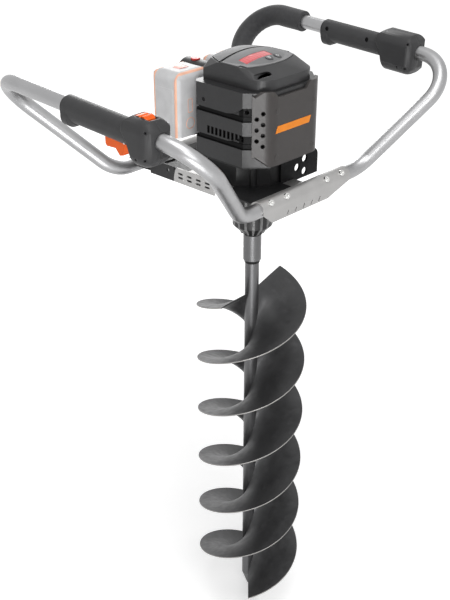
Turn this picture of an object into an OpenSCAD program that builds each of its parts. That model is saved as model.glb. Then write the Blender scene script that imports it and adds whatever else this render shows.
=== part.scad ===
// Two-battery earth auger: twin-flight bit, geared power head and closed-loop handlebar.
// Frame: +X right, -Y front, +Z up, origin at the pilot point of the bit, millimetres.

/* [Auger bit] */
// Diameter of the flights
bit_d = 200; // [150:1:250]
// Rise of one flight in a full turn
flight_lead = 224; // [180:1:280]
// Height of the flights along their lower face
flight_len = 652; // [500:1:700]
// Thickness of the flight plate, measured along the axis
flight_t = 4; // [3:0.5:6]
// How far a flight's root lies below its rim
flight_dish = 10; // [0:1:12]
// Direction in which the first flight's lower edge points
flight_start = 42.5; // [0:0.5:360]
// Diameter of the bit's centre shaft
bit_shaft_d = 25; // [22:0.5:32]
// Height of the pilot point below the flights
pilot_h = 46; // [30:1:70]
// Height of the pilot's cone
pilot_cone_h = 32; // [10:1:45]
// Bare shaft between the flights and the collar
bare_shaft_len = 54; // [30:1:120]
// Diameter of the drive collar
collar_d = 32; // [30:0.5:44]
// Height of the drive collar
collar_h = 53; // [40:1:80]
// Diameter of the coupling pin
pin_d = 8; // [5:0.5:10]

/* [Handlebar] */
// Diameter of the handlebar tube
tube_d = 25; // [22:0.5:30]
// Wall of the handlebar tube
tube_wall = 2; // [1.5:0.1:3]
// Height of the rails above the drive collar
rail_rise = 109; // [100:1:140]
// Half the length of the rails, corner to corner
rail_half = 150; // [135:1:190]
// Front rail, forward of the bit's axis
rail_front = 110; // [105:1:140]
// Rear rail, behind the bit's axis
rail_rear = 184; // [175:1:230]
// Half the distance between the two handles
handle_half = 316; // [290:1:360]
// Front corner of the handle, forward of the bit's axis
corner_front = 198; // [190:1:230]
// Rear corner of the handle, behind the bit's axis
corner_rear = 314; // [300:1:350]
// Rise from the rails to the front corner
rise_front = 164; // [140:1:200]
// Rise from the rails to the rear corner
rise_rear = 187; // [160:1:220]
// Centreline radius of the corner bends
corner_r = 60; // [50:1:64]
// Centreline radius of the bends at the rails
foot_r = 58; // [40:1:80]
// Place along the handle where the two tubes meet
tube_joint = 40; // [20:1:70]
// Half the length of a joiner sleeve
joiner_half = 45; // [25:1:60]
// Wall of a joiner sleeve
joiner_wall = 2.5; // [1.5:0.5:4]

/* [Grips] */
// Length of the right grip
right_grip_len = 135; // [125:1:150]
// Length of the left grip
left_grip_len = 148; // [135:1:156]
// Front end of the right grip, along the handle
right_front = -28; // [-34:1:-20]
// Front end of the left grip, along the handle
left_front = -58; // [-62:1:-52]
// Half width of a grip
grip_r = 17; // [15.5:0.5:20]
// Height of the grip's upper arc centre below the tube
grip_top = 1; // [0:0.5:3]
// Height of the grip's lower arc centre below the tube
grip_low = 6; // [4:0.5:9]
// Length of the finger stop at the rear end
stop_len = 27; // [22:1:36]
// Depth of the finger stop below the grip's lower arc centre
stop_drop = 6; // [2:0.5:8]
// Length of the right housing
right_housing_len = 77; // [70:1:80]
// Length of the left housing
left_housing_len = 57; // [52:1:60]
// Width of a housing
housing_w = 54; // [48:1:62]
// Top of a housing above the tube's axis
housing_top = 29; // [27:0.5:31]
// Bottom of a housing below the tube's axis
housing_low = 41; // [38:1:46]
// Corner radius of a housing
housing_r = 20; // [8:1:22]
// Chamfer at the front edge of a housing
housing_chamfer = 9; // [3:1:14]
// Radius of a housing's front corners, seen from above
housing_nose_r = 14; // [8:1:20]
// Slope at the rear top edge of a housing
housing_taper = 8; // [4:1:12]
// Diameter of the housing screws
case_screw_d = 4; // [3:0.5:5]

// Front end of the foam sleeve, along the handle
foam_front = 158; // [150:1:166]
// Outer diameter of the foam sleeve
foam_d = 39; // [34:1:44]
// Share of the rear arm that the foam sleeve covers
foam_share = 0.62; // [0.4:0.02:0.75]

/* [Trigger and lock] */
// Width of the trigger
trigger_w = 12; // [8:0.5:16]
// Pivot of the trigger, along the handle
trigger_pivot_y = -48; // [-49:1:-44]
// Pivot of the trigger below the tube's axis
trigger_pivot_drop = 18; // [18:0.1:18.5]
// Rear end of the trigger, along the handle
trigger_rear = -1; // [-8:1:6]
// Bottom of the trigger below the tube's axis
trigger_low = 36; // [34:0.5:39]
// Diameter of the trigger pin
trigger_pin_d = 4; // [3:0.5:5]
// Middle of the lock slider, along the handle
lock_y = -80; // [-82:1:-78]
// Length of the lock slider
lock_len = 25; // [22:1:27]
// Width of the lock slider
lock_w = 18; // [12:0.5:20]
// Travel of the lock slider
lock_travel = 6; // [4:0.5:7]

/* [Base] */
// Thickness of the base plates
plate_t = 4; // [3:0.5:6]
// Half width of the tray
tray_half = 100; // [92:1:110]
// Half width of the tray's front neck
neck_half = 34; // [26:1:44]
// Front edge of the tray's wide part
tray_front = -4; // [-20:1:4]
// Rear edge of the tray
tray_rear = 91; // [84:1:110]
// Height of the tray's side walls above the rails' axis
wall_up = 18; // [12:1:24]
// Depth of the tray's side walls below the rails' axis
wall_down = 8; // [5:1:14]
// Thickness of the sheet metal saddles and walls
sheet_t = 2.5; // [1.5:0.5:3]
// Left end of a saddle
saddle_left = 112; // [104:1:124]
// Right end of a saddle
saddle_right = 108; // [104:1:124]
// Depth of the saddle's skirt below the rail's axis
skirt_drop = 22; // [16:1:30]
// Width of the clamp strip at the rear rail
saddle_flange = 22; // [14:1:24]
// Right end of the cross plate
cross_right = 96; // [88:1:110]
// Diameter of the cross plate's lightening holes
cross_hole_d = 13.5; // [8:0.5:14]
// Diameter of the heads of the saddle screws
screw_head_d = 11; // [8:0.5:13]

/* [Power head] */
// Half width of the motor housing
body_half = 85; // [80:1:96]
// Front face of the front cover, forward of the axis
cover_front = 90; // [88:1:96]
// Half width of the cover's flat face
cover_half = 54; // [48:1:60]
// Where the corner facets end, forward of the axis
facet_back = 52; // [46:1:60]
// Rear wall of the motor housing, behind the axis
body_rear = 58; // [55:1:66]
// Bottom of the motor housing above the rails' axis
body_bottom = 50; // [46:1:56]
// Height of the motor housing
body_h = 122; // [112:1:130]
// Wall of the motor housing
body_wall = 3.5; // [2.5:0.5:4]
// Thickness of the front cover
cover_t = 5; // [3:0.5:7]
// Height of the lid's upright band
lid_band = 17; // [12:1:22]
// Height of the lid's sloped shoulder
lid_slope = 14; // [8:1:20]
// Half width of the lid
lid_half = 67; // [65:0.5:69]
// Front of the lid, forward of the axis
lid_front = 79; // [76:1:80]
// Rear of the lid, behind the axis
lid_rear = 56; // [53:1:57]
// Radius of the lid's front corners
lid_corner_r = 33; // [26:1:36]
// Height of the control panel's crown above the lid
crown_h = 10; // [8:0.5:12]
// Half width of the control panel
panel_half = 62; // [58:1:64]
// Half width of the gear case
gear_case_half = 62; // [58:1:68]
// Front face of the gear case, forward of the axis
gear_case_front = 58; // [54:1:62]
// Rear face of the gear case, behind the axis
gear_case_rear = 88; // [84:1:94]
// Largest diameter of the gearbox nose
nose_d = 76; // [70:1:84]
// Diameter of the nose's lower end
nose_tip_d = 36; // [33:0.5:44]

/* [Batteries] */
// Width of a battery
battery_w = 76; // [68:1:84]
// Depth of a battery
battery_l = 62; // [56:1:70]
// Height of a battery
battery_h = 109; // [100:1:120]
// Distance between the middles of the two batteries
battery_pitch = 117; // [112:1:136]
// Front face of the batteries, behind the axis
battery_front = 81; // [79:1:96]
// Bottom of the batteries above the rails' axis
battery_bottom = 68; // [60:1:80]
// Width of the battery rail's head
rail_head_w = 34; // [26:1:40]
// Width of the battery rail's neck
rail_neck_w = 22; // [14:1:26]

/* [Drive] */
// Module of the gears
gear_m = 1.2; // [1.2:0.05:1.25]
// Teeth of a pinion
pinion_teeth = 14; // [14:1:15]
// Teeth of a large gear
wheel_teeth = 56; // [54:1:56]
// Width of the gears
gear_w = 11; // [8:0.5:12]
// Diameter of the output spindle
spindle_d = 20; // [18:0.5:22]
// Diameter of the layshaft
layshaft_d = 10; // [8:0.5:11]
// Diameter of the motor shaft
motor_shaft_d = 8; // [6:0.5:9]
// Outer diameter of the stator
stator_d = 92; // [80:1:96]
// Height of the stator
stator_h = 54; // [40:1:60]
// Diameter of the rotor
rotor_d = 48; // [40:1:52]
// Blades of the cooling fan
fan_blades = 11; // [7:1:15]

/* [Fits] */
// Radial clearance of a sleeve, grip or seat on its tube or shaft
seat_fit = 0.05; // [0.02:0.01:0.1]
// Radial clearance of a turning shaft
run_fit = 0.05; // [0.02:0.01:0.1]
// Clearance beside a sliding piece
slide_fit = 0.4; // [0.3:0.1:0.8]
// Clearance round a piece that turns freely
free_fit = 1; // [0.6:0.1:2]

/* [Hidden] */
$fn = 48;
eps = 0.01;

// heights along the axis
flight_z = pilot_h;
collar_z = flight_z + flight_len + bare_shaft_len;
collar_top = collar_z + collar_h;
deck = collar_top + rail_rise;
body_z = deck + body_bottom;
body_top = body_z + body_h;

// handle line, tilted so that the rear end is higher
handle_tilt = atan2(rise_rear - rise_front, corner_rear + corner_front);
handle_z = deck + rise_front + corner_front * tan(handle_tilt);

function unit(v) = v / norm(v);
function corner_at(side, y, rise) = [side * handle_half, y, deck + rise];
function foot_at(side, y) = [side * rail_half, y, deck];
function along_handle(side, y) = [side * handle_half, y * cos(handle_tilt), handle_z + y * sin(handle_tilt)];
function turn_angle(a, b, c) = acos(unit(b - a) * unit(c - b));
function bend_reach(a, b, c, r) = r * tan(turn_angle(a, b, c) / 2);

// a bend draws the wall a little thinner, and each straight length laps onto it
bend_draw = 0.1;
bend_lap = 1;

// straight tube from one point to another
module bar(from, to, d, bore) {
    run = to - from;
    translate(from)
        rotate([0, acos(run.z / norm(run)), atan2(run.y, run.x)])
            linear_extrude(norm(run)) ring(d, bore);
}

module ring(d, bore) {
    difference() {
        circle(d = d);
        circle(d = bore);
    }
}

// bend of a tube at the corner b of the path a, b, c
module bend(a, b, c, r, d, bore) {
    go = unit(b - a);
    start = b - go * bend_reach(a, b, c, r);
    side = unit(unit(c - b) - go * (go * unit(c - b)));
    up = cross(-side, go);
    middle = start + side * r;
    multmatrix([
        [-side.x, go.x, up.x, middle.x],
        [-side.y, go.y, up.y, middle.y],
        [-side.z, go.z, up.z, middle.z]
    ])
        rotate_extrude(angle = turn_angle(a, b, c))
            translate([r, 0]) ring(d - bend_draw, bore + bend_draw);
}

// tube along a path of points, with a bend of its own radius at each inner point
module bent_tube(path, radii, d, bore) {
    last = len(path) - 1;
    reach = [for (i = [0 : last])
        i == 0 || i == last ? 0 : bend_reach(path[i - 1], path[i], path[i + 1], radii[i])];
    for (i = [0 : last - 1]) {
        go = unit(path[i + 1] - path[i]);
        from = path[i] + go * (i == 0 ? 0 : reach[i] - bend_lap);
        to = path[i + 1] - go * (i == last - 1 ? 0 : reach[i + 1] - bend_lap);
        bar(from, to, d, bore);
    }
    for (i = [1 : last - 1])
        bend(path[i - 1], path[i], path[i + 1], radii[i], d, bore);
}

// path of one handlebar, from the left handle down to its rail and up to the right handle
function bar_path(rail_y, corner_y, rise, end_y) = [
    along_handle(-1, end_y), corner_at(-1, corner_y, rise), foot_at(-1, rail_y),
    foot_at(1, rail_y), corner_at(1, corner_y, rise), along_handle(1, end_y)
];
bar_radii = [0, corner_r, foot_r, foot_r, corner_r, 0];

// hollow handlebar with its screw holes in the rail
module handlebar(rail_y, corner_y, rise, end_y, turn) {
    difference() {
        bent_tube(bar_path(rail_y, corner_y, rise, end_y), bar_radii, tube_d, tube_d - 2 * tube_wall);
        at_rail(rail_y, turn)
            saddle_screw_places()
                cylinder(h = tube_d, d = screw_shank_d + 2 * slide_fit, center = true);
    }
}

module at_rail(rail_y, turn) {
    translate([0, rail_y, deck]) rotate([0, 0, turn]) children();
}

// frame of a handle: y runs along the tube to the rear, z up
module at_handle(side) {
    translate([side * handle_half, 0, handle_z])
        rotate([handle_tilt, 0, 0]) children();
}

module front_handlebar() {
    color("silver")
        handlebar(-rail_front, -corner_front, rise_front, tube_joint - slide_fit, 0);
}

module rear_handlebar() {
    color("silver") handlebar(rail_rear, corner_rear, rise_rear, tube_joint + slide_fit, 180);
}

module joiner_sleeves() {
    outer = tube_d - 2 * tube_wall - 2 * seat_fit;
    color("gray")
        for (side = [-1, 1])
            at_handle(side)
                translate([0, tube_joint, 0])
                    rotate([90, 0, 0])
                        difference() {
                            cylinder(h = 2 * joiner_half, d = outer, center = true);
                            cylinder(h = 2 * joiner_half + 2, d = outer - 2 * joiner_wall, center = true);
                        }
}

// sheet metal saddle over a rail, in the rail's own frame with its skirt at -y
screw_angle = 45;
screw_shank_d = screw_head_d / 2;
screw_places = [-0.81, -0.47, 0.43, 0.79];
saddle_in = tube_d / 2 + seat_fit;
saddle_out = saddle_in + sheet_t;
skirt_slots = 5;
skirt_slot_pitch = 20;

module saddle_screw_places() {
    for (place = screw_places)
        translate([place * saddle_left, 0, 0])
            rotate([screw_angle, 0, 0])
                translate([0, 0, saddle_out]) children();
}

module saddle_profile() {
    difference() {
        union() {
            circle(r = saddle_out);
            translate([-saddle_out, -skirt_drop]) square([sheet_t, skirt_drop]);
        }
        circle(r = saddle_in);
        translate([-saddle_in, -2 * tube_d])
            square([4 * tube_d, 2 * tube_d + sheet_t + seat_fit]);
    }
}

module saddle() {
    skirt_rise = skirt_drop - 4;
    left_cut = 20;
    right_cut = 60;
    difference() {
        translate([-saddle_left, 0, 0])
            rotate([90, 0, 90])
                linear_extrude(saddle_left + saddle_right) saddle_profile();
        translate([0, -saddle_in + eps, 0])
            rotate([90, 0, 0])
                linear_extrude(2 * sheet_t)
                    union() {
                        polygon([[-saddle_left - 1, -skirt_drop - 1],
                            [left_cut - saddle_left, -skirt_drop - 1],
                            [left_cut - saddle_left, -skirt_drop],
                            [-saddle_left - 1, skirt_rise - skirt_drop]]);
                        polygon([[saddle_right + 1, -skirt_drop - 1],
                            [saddle_right - right_cut, -skirt_drop - 1],
                            [saddle_right - right_cut, -skirt_drop],
                            [saddle_right + 1, skirt_rise - skirt_drop]]);
                    }
        for (i = [0 : skirt_slots - 1])
            translate([(i - skirt_slots + 1.2) * skirt_slot_pitch + 22, -saddle_in, 6 - skirt_drop])
                rotate([0, 28, 0]) cube([2.6, 3 * sheet_t, 8], center = true);
        saddle_screw_places()
            cylinder(h = 4 * sheet_t, d = screw_shank_d + 2 * slide_fit, center = true);
    }
}

// black plates that tie the rails to the base: the front one fits round the gear case
module front_clamp() {
    plate_rear = case_cut - gear_case_front;
    color("dimgray")
        translate([0, 0, deck])
            difference() {
                translate([-tray_half, neck_front, 0])
                    cube([tray_half + cross_left - seat_fit, plate_rear - neck_front, sheet_t]);
                translate([0, 0, -1])
                    linear_extrude(sheet_t + 2) case_outline(seat_fit);
            }
}

module rear_clamp() {
    color("dimgray")
        at_rail(rail_rear, 180)
            translate([-saddle_right, tube_d / 2 + seat_fit, 0])
                cube([2 * saddle_right, saddle_flange, sheet_t]);
}

module front_saddle() {
    color("lightgray") at_rail(-rail_front, 0) saddle();
}

module rear_saddle() {
    color("lightgray") at_rail(rail_rear, 180) saddle();
}

module saddle_screws() {
    head_h = 3;
    saddle_screw_places()
        difference() {
            union() {
                cylinder(h = head_h, d1 = screw_head_d, d2 = screw_head_d - 2);
                translate([0, 0, -sheet_t - tube_wall])
                    cylinder(h = sheet_t + tube_wall + head_h / 2, d = screw_shank_d);
            }
            translate([0, 0, head_h - 1.6]) cylinder(h = 3, d = screw_shank_d * 0.8, $fn = 6);
        }
}

module front_saddle_screws() {
    color("gainsboro") at_rail(-rail_front, 0) saddle_screws();
}

module rear_saddle_screws() {
    color("gainsboro") at_rail(rail_rear, 180) saddle_screws();
}

// base: silver tray with louvred walls, black bracket to the rear rail, black cross plate
neck_front = -rail_front + tube_d / 2 + seat_fit;
bracket_rear = rail_rear - tube_d / 2 - seat_fit;
nose_hole_d = nose_d + 2 * slide_fit;
louvre_rows = 2;
louvre_columns = 4;

module base_tray() {
    louvre_pitch = (tray_rear - tray_front) / (louvre_columns + 0.5);
    color("lightgray")
        difference() {
            union() {
                translate([0, 0, deck - plate_t])
                    linear_extrude(plate_t)
                        polygon([[-neck_half, neck_front], [neck_half, neck_front],
                            [neck_half, tray_front - 30], [tray_half, tray_front], [tray_half, tray_rear],
                            [-tray_half, tray_rear], [-tray_half, tray_front], [-neck_half, tray_front - 30]]);
                for (side = [-1, 1])
                    translate([side * (tray_half - sheet_t / 2), 0, deck])
                        rotate([90, 0, 90])
                            linear_extrude(sheet_t, center = true)
                                polygon([[tray_front, -wall_down], [tray_rear, -wall_down],
                                    [tray_rear, 0], [tray_rear - 3, wall_up - 5],
                                    [tray_rear - 7, wall_up], [tray_front, wall_up]]);
            }
            translate([0, 0, deck - plate_t - 1]) cylinder(h = plate_t + 2, d = nose_hole_d);
            for (side = [-1, 1], row = [0 : louvre_rows - 1], column = [0 : louvre_columns - 1])
                translate([side * tray_half, tray_front + (column + 0.75) * louvre_pitch, deck + 2 + row * 7])
                    rotate([90, 0, 90]) slot(louvre_pitch * 0.55, 3.5, 3 * sheet_t);
        }
}

// slot with round ends, along x
module slot(length, width, deep) {
    linear_extrude(deep, center = true) {
        square([length - width, width], center = true);
        for (end = [-1, 1])
            translate([end * (length - width) / 2, 0]) circle(d = width);
    }
}

// the bracket's walls reach forward inside the tray's walls
bracket_lap = 8;

module rear_bracket() {
    color("dimgray")
        difference() {
            union() {
                translate([-tray_half, tray_rear, deck - plate_t])
                    cube([2 * tray_half, bracket_rear - tray_rear, plate_t]);
                for (side = [-1, 1])
                    translate([side * (tray_half - sheet_t / 2) - sheet_t / 2, tray_rear, deck - wall_down])
                        cube([sheet_t, bracket_rear - saddle_flange - tray_rear, wall_up + wall_down]);
                for (side = [-1, 1])
                    translate([side * (tray_half - 1.5 * sheet_t) - sheet_t / 2,
                        tray_front + bracket_lap, deck])
                        cube([sheet_t, tray_rear - tray_front, wall_up - sheet_t]);
            }
            for (side = [-1, 1])
                translate([side * tray_half, tray_rear + 14, deck + wall_up / 2])
                    rotate([0, 90, 0]) cylinder(h = 3 * sheet_t, d = 6, center = true);
        }
}

motor_plate_t = 8;
cross_top = body_bottom - motor_plate_t;
cross_low = 4;
cross_left = 0;
cross_round = 14;
hole_circle_r = 13;
hole_circle_x = cross_right - 41;
hole_circle_z = 18;

module cross_plate() {
    color("dimgray")
        translate([0, -gear_case_front, deck])
            rotate([90, 0, 0])
                linear_extrude(plate_t)
                    difference() {
                        union() {
                            translate([cross_left, 0])
                                square([cross_right - cross_round - cross_left, cross_top]);
                            translate([neck_half + slide_fit, -cross_low])
                                square([cross_right - neck_half - slide_fit,
                                    cross_top + cross_low - cross_round]);
                            translate([cross_right - cross_round, cross_top - cross_round])
                                circle(r = cross_round);
                        }
                        for (spoke = [0 : 2])
                            translate([hole_circle_x, hole_circle_z])
                                rotate(60 + spoke * 120)
                                    translate([hole_circle_r, 0]) circle(d = cross_hole_d);
                    }
}

// gear train: reverted, motor and spindle on one axis, layshaft behind them
centre_distance = gear_m * (pinion_teeth + wheel_teeth) / 2;
wheel_r = gear_m * (wheel_teeth / 2 + 1);
case_floor = 9;
gear_low = case_floor + 2;
gear_high = gear_low + gear_w + 4;
case_inner = body_bottom - motor_plate_t;

// half-angle of a tooth at radius r of an involute gear whose pitch half-angle is at_pitch
function involute(a) = tan(a) * 180 / PI - a;
function flank_angle(r, base, pitch_r, at_pitch) =
    at_pitch + involute(acos(base / pitch_r)) - (r > base ? involute(acos(base / r)) : 0);

function spoke(r, a) = r * [cos(a), sin(a)];

module gear(teeth, turn) {
    pressure = 20;
    backlash = 0.18;
    pitch_r = gear_m * teeth / 2;
    base = pitch_r * cos(pressure);
    root = pitch_r - 1.25 * gear_m;
    tip = pitch_r + 0.85 * gear_m;
    at_pitch = 90 / teeth - backlash / pitch_r * 180 / PI / 2;
    rise = [for (i = [0 : 2]) max(base, root) + (tip - max(base, root)) * i / 2];
    flank = [for (r = rise) [r, flank_angle(r, base, pitch_r, at_pitch)]];
    side = concat([[root, flank[0][1]]], flank);
    linear_extrude(gear_w)
        polygon([
            for (i = [0 : teeth - 1]) let (middle = turn + i * 360 / teeth)
                each concat(
                    [for (p = side) spoke(p[0], middle - p[1])],
                    [for (k = [len(side) - 1 : -1 : 0]) spoke(side[k][0], middle + side[k][1])]
                )
        ]);
}

module wheel_bore(d) {
    translate([0, 0, -1]) cylinder(h = gear_w + 2, d = d + 2 * seat_fit);
}

// large gear with a web between rim and hub
module wheel(teeth, bore, turn) {
    rim_r = gear_m * teeth / 2 - 5;
    difference() {
        gear(teeth, turn);
        wheel_bore(bore);
        for (z = [-1, gear_w - 3])
            translate([0, 0, z])
                difference() {
                    cylinder(h = 4, r = rim_r);
                    translate([0, 0, -1]) cylinder(h = 6, d = bore + 14);
                }
    }
}

module output_gear() {
    color("slategray") translate([0, 0, deck + gear_low]) wheel(wheel_teeth, spindle_d, 90);
}

module layshaft_pinion() {
    color("slategray")
        translate([0, centre_distance, deck + gear_low])
            difference() {
                gear(pinion_teeth, 90 + 180 / pinion_teeth);
                wheel_bore(layshaft_d);
            }
}

module layshaft_gear() {
    color("slategray")
        translate([0, centre_distance, deck + gear_high])
            wheel(wheel_teeth, layshaft_d, -90 + 180 / wheel_teeth);
}

module motor_pinion() {
    color("slategray")
        translate([0, 0, deck + gear_high])
            difference() {
                gear(pinion_teeth, 90);
                wheel_bore(motor_shaft_d);
            }
}

// plain ring bearing, shown as one sealed piece with its seals set in
module bearing(bore, outer, width) {
    seal_w = (outer - bore) / 2 - 3;
    middle_r = (outer + bore) / 4;
    difference() {
        cylinder(h = width, d = outer - 2 * seat_fit);
        translate([0, 0, -1]) cylinder(h = width + 2, d = bore + 2 * run_fit);
        for (z = [-1, width - 0.6])
            translate([0, 0, z])
                difference() {
                    cylinder(h = 1.6, r = middle_r + seal_w / 2);
                    translate([0, 0, -1]) cylinder(h = 4, r = middle_r - seal_w / 2);
                }
    }
}

small_bearing_d = 22;
small_bearing_w = 6;
lay_bearing_d = 24;
spindle_bearing_d = 47;
spindle_bearing_w = 14;
bearing_lip = 1.5;

module layshaft_bearings() {
    color("lightsteelblue")
        for (z = [case_floor - small_bearing_w, case_inner])
            translate([0, centre_distance, deck + z])
                bearing(layshaft_d, lay_bearing_d, small_bearing_w);
}

module layshaft() {
    low = case_floor - small_bearing_w;
    high = case_inner + small_bearing_w;
    color("lightsteelblue")
        translate([0, centre_distance, deck + low]) cylinder(h = high - low, d = layshaft_d);
}

// gear case: octagonal casting with corner ribs, open at the top
case_cut = 40;

module case_plan(grow) {
    side = gear_case_half + grow;
    front = -gear_case_front - grow;
    rear = gear_case_rear + grow;
    cut = case_cut;
    polygon([[-side + cut, front], [side - cut, front], [side, front + cut], [side, rear - cut],
        [side - cut, rear], [-side + cut, rear], [-side, rear - cut], [-side, front + cut]]);
}

// plan with a screw boss on each front facet
module case_outline(grow) {
    union() {
        case_plan(grow);
        for (side = [-1, 1])
            translate([side * (gear_case_half - case_cut / 2), case_cut / 2 - gear_case_front])
                circle(d = 12 + 2 * grow);
    }
}

module gear_case() {
    case_wall = 5;
    color("#1c1c1e")
        translate([0, 0, deck])
            difference() {
                linear_extrude(case_inner) case_outline(0);
                translate([0, 0, case_floor])
                    linear_extrude(case_inner) case_plan(-case_wall);
                translate([0, 0, -1])
                    cylinder(h = case_floor + 2, d = spindle_d + 2 * free_fit);
                translate([0, centre_distance, case_floor - small_bearing_w])
                    cylinder(h = case_floor, d = lay_bearing_d);
            }
}

module motor_plate() {
    side = body_half - body_wall - 6;
    color("#2a2a2c")
        translate([0, 0, deck + case_inner])
            difference() {
                linear_extrude(motor_plate_t)
                    polygon([[-side + 34, -cover_front + 16], [side - 34, -cover_front + 16],
                        [side, -facet_back + 8], [side, gear_case_rear], [-side, gear_case_rear],
                        [-side, -facet_back + 8]]);
                translate([0, 0, bearing_lip]) cylinder(h = motor_plate_t, d = small_bearing_d);
                translate([0, 0, -1]) cylinder(h = motor_plate_t, d = small_bearing_d - 6);
                translate([0, centre_distance, -1])
                    cylinder(h = small_bearing_w + 1, d = lay_bearing_d);
            }
}

// nose under the base: ribbed flare that carries the spindle
nose_h = rail_rise - 3 - plate_t;
nose_flare_h = 17;
nose_ribs = 16;
low_bearing_z = -plate_t - nose_h + nose_flare_h + 6;

module gearbox_nose() {
    bottom = -plate_t - nose_h;
    color("#1c1c1e")
        translate([0, 0, deck])
            difference() {
                union() {
                    translate([0, 0, bottom])
                        cylinder(h = nose_flare_h, d1 = nose_tip_d, d2 = nose_d - 6);
                    translate([0, 0, bottom + nose_flare_h])
                        cylinder(h = nose_h - nose_flare_h, d = nose_d - 6);
                    translate([0, 0, -plate_t - 6]) cylinder(h = 6, d = nose_d + 16);
                    translate([0, 0, -plate_t - eps]) cylinder(h = plate_t + eps, d = nose_d);
                    intersection() {
                        translate([0, 0, bottom])
                            cylinder(h = nose_flare_h + 40, d1 = nose_tip_d + 5, d2 = nose_d + 36);
                        for (i = [0 : nose_ribs - 1])
                            rotate([0, 0, i * 360 / nose_ribs])
                                translate([0, -1.6, bottom + 1])
                                    cube([nose_d / 2, 3.2, nose_h - 8]);
                    }
                }
                translate([0, 0, bottom - 1])
                    cylinder(h = nose_h + plate_t + 2, d = spindle_d + 2 * free_fit);
                translate([0, 0, low_bearing_z])
                    cylinder(h = spindle_bearing_w, d = spindle_bearing_d);
                translate([0, 0, low_bearing_z + spindle_bearing_w - eps])
                    cylinder(h = -low_bearing_z - spindle_bearing_w + 1, d = spindle_bearing_d - 6);
                translate([0, 0, -spindle_bearing_w])
                    cylinder(h = spindle_bearing_w + 1, d = spindle_bearing_d);
                translate([0, 0, bottom - 1]) cylinder(h = 5, d = spindle_d + 10);
            }
}

module spindle_bearings() {
    color("lightsteelblue")
        for (z = [low_bearing_z, -spindle_bearing_w])
            translate([0, 0, deck + z])
                bearing(spindle_d, spindle_bearing_d, spindle_bearing_w);
}

module shaft_seal() {
    color("black")
        translate([0, 0, deck - plate_t - nose_h])
            difference() {
                cylinder(h = 4 - seat_fit, d = spindle_d + 10 - 2 * seat_fit);
                translate([0, 0, -1]) cylinder(h = 6, d = spindle_d + 2 * run_fit);
            }
}

// spindle, with its drive end in the bit's collar
socket_depth = 38;

module output_spindle() {
    low = collar_top - socket_depth + 0.5;
    color("slategray")
        difference() {
            union() {
                translate([0, 0, low])
                    cylinder(h = deck + gear_low + gear_w + 1 - low, d = spindle_d);
                translate([0, 0, deck + 0.5])
                    cylinder(h = gear_low - 0.5, d = spindle_d + 1.4 * free_fit);
            }
            coupling_bore();
        }
}

module coupling_bore() {
    translate([0, 0, collar_z + collar_h / 2])
        rotate([90, 0, 45]) cylinder(h = 2 * collar_d, d = pin_d + 2 * seat_fit, center = true);
}

module coupling_pin() {
    color("gainsboro")
        translate([0, 0, collar_z + collar_h / 2])
            rotate([90, 0, 45]) cylinder(h = collar_d - 3, d = pin_d, center = true);
}

module bit_shaft() {
    collar_chamfer = 4;
    color("#4a4d50")
        difference() {
            union() {
                cylinder(h = pilot_cone_h, d1 = 3, d2 = bit_shaft_d);
                translate([0, 0, pilot_cone_h])
                    cylinder(h = collar_z - pilot_cone_h + collar_chamfer, d = bit_shaft_d);
                translate([0, 0, collar_z])
                    cylinder(h = collar_chamfer, d1 = bit_shaft_d + 1, d2 = collar_d);
                translate([0, 0, collar_z + collar_chamfer])
                    cylinder(h = collar_h - collar_chamfer, d = collar_d);
            }
            translate([0, 0, collar_top - socket_depth])
                cylinder(h = socket_depth + 1, d = spindle_d + 2 * seat_fit);
            coupling_bore();
        }
}

// right-hand flight as one swept plate
flight_steps = 96;

module flight(turn) {
    inner = bit_shaft_d / 2 + seat_fit;
    outer = bit_d / 2;
    sweep = 360 * flight_len / flight_lead;
    ring = [for (i = [0 : flight_steps])
        let (a = turn + sweep * i / flight_steps, z = flight_z + flight_len * i / flight_steps)
        [for (corner = [[inner, -flight_dish], [outer, 0], [outer, flight_t], [inner, flight_t - flight_dish]])
            [corner[0] * cos(a), corner[0] * sin(a), z + corner[1]]]];
    points = [for (corners = ring) each corners];
    last = 4 * flight_steps;
    sides = [for (i = [0 : flight_steps - 1], k = [0 : 3])
        let (a = 4 * i + k, b = 4 * i + (k + 1) % 4)
        each [[a, b + 4, b], [a, a + 4, b + 4]]];
    ends = [[0, 1, 2], [0, 2, 3], [last, last + 2, last + 1], [last, last + 3, last + 2]];
    polyhedron(points, concat(sides, ends));
}

module flight_a() {
    color("#3c3f42") flight(flight_start);
}

module flight_b() {
    color("#3c3f42") flight(flight_start + 180);
}

// motor
can_wall = 3;
can_h = 94;
fan_z = 4;
fan_h = 12;
stator_z = 22;
upper_bearing_z = can_h - small_bearing_w;

module motor_can() {
    windows = 8;
    color("gray")
        translate([0, 0, body_z])
            difference() {
                cylinder(h = can_h, d = stator_d + 2 * can_wall);
                translate([0, 0, -1]) cylinder(h = stator_z + stator_h + 1, d = stator_d);
                translate([0, 0, stator_z + stator_h - 1])
                    cylinder(h = can_h - stator_z - stator_h - 7, d = stator_d - 4);
                translate([0, 0, can_h - 9]) cylinder(h = 10, d = small_bearing_d - 6);
                translate([0, 0, upper_bearing_z])
                    cylinder(h = small_bearing_w + 1, d = small_bearing_d);
                for (i = [0 : windows - 1])
                    rotate([0, 0, (i + 0.5) * 360 / windows])
                        translate([stator_d / 2, 0, fan_z + fan_h / 2 - 1])
                            cube([4 * can_wall, 18, fan_h], center = true);
            }
}

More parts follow.
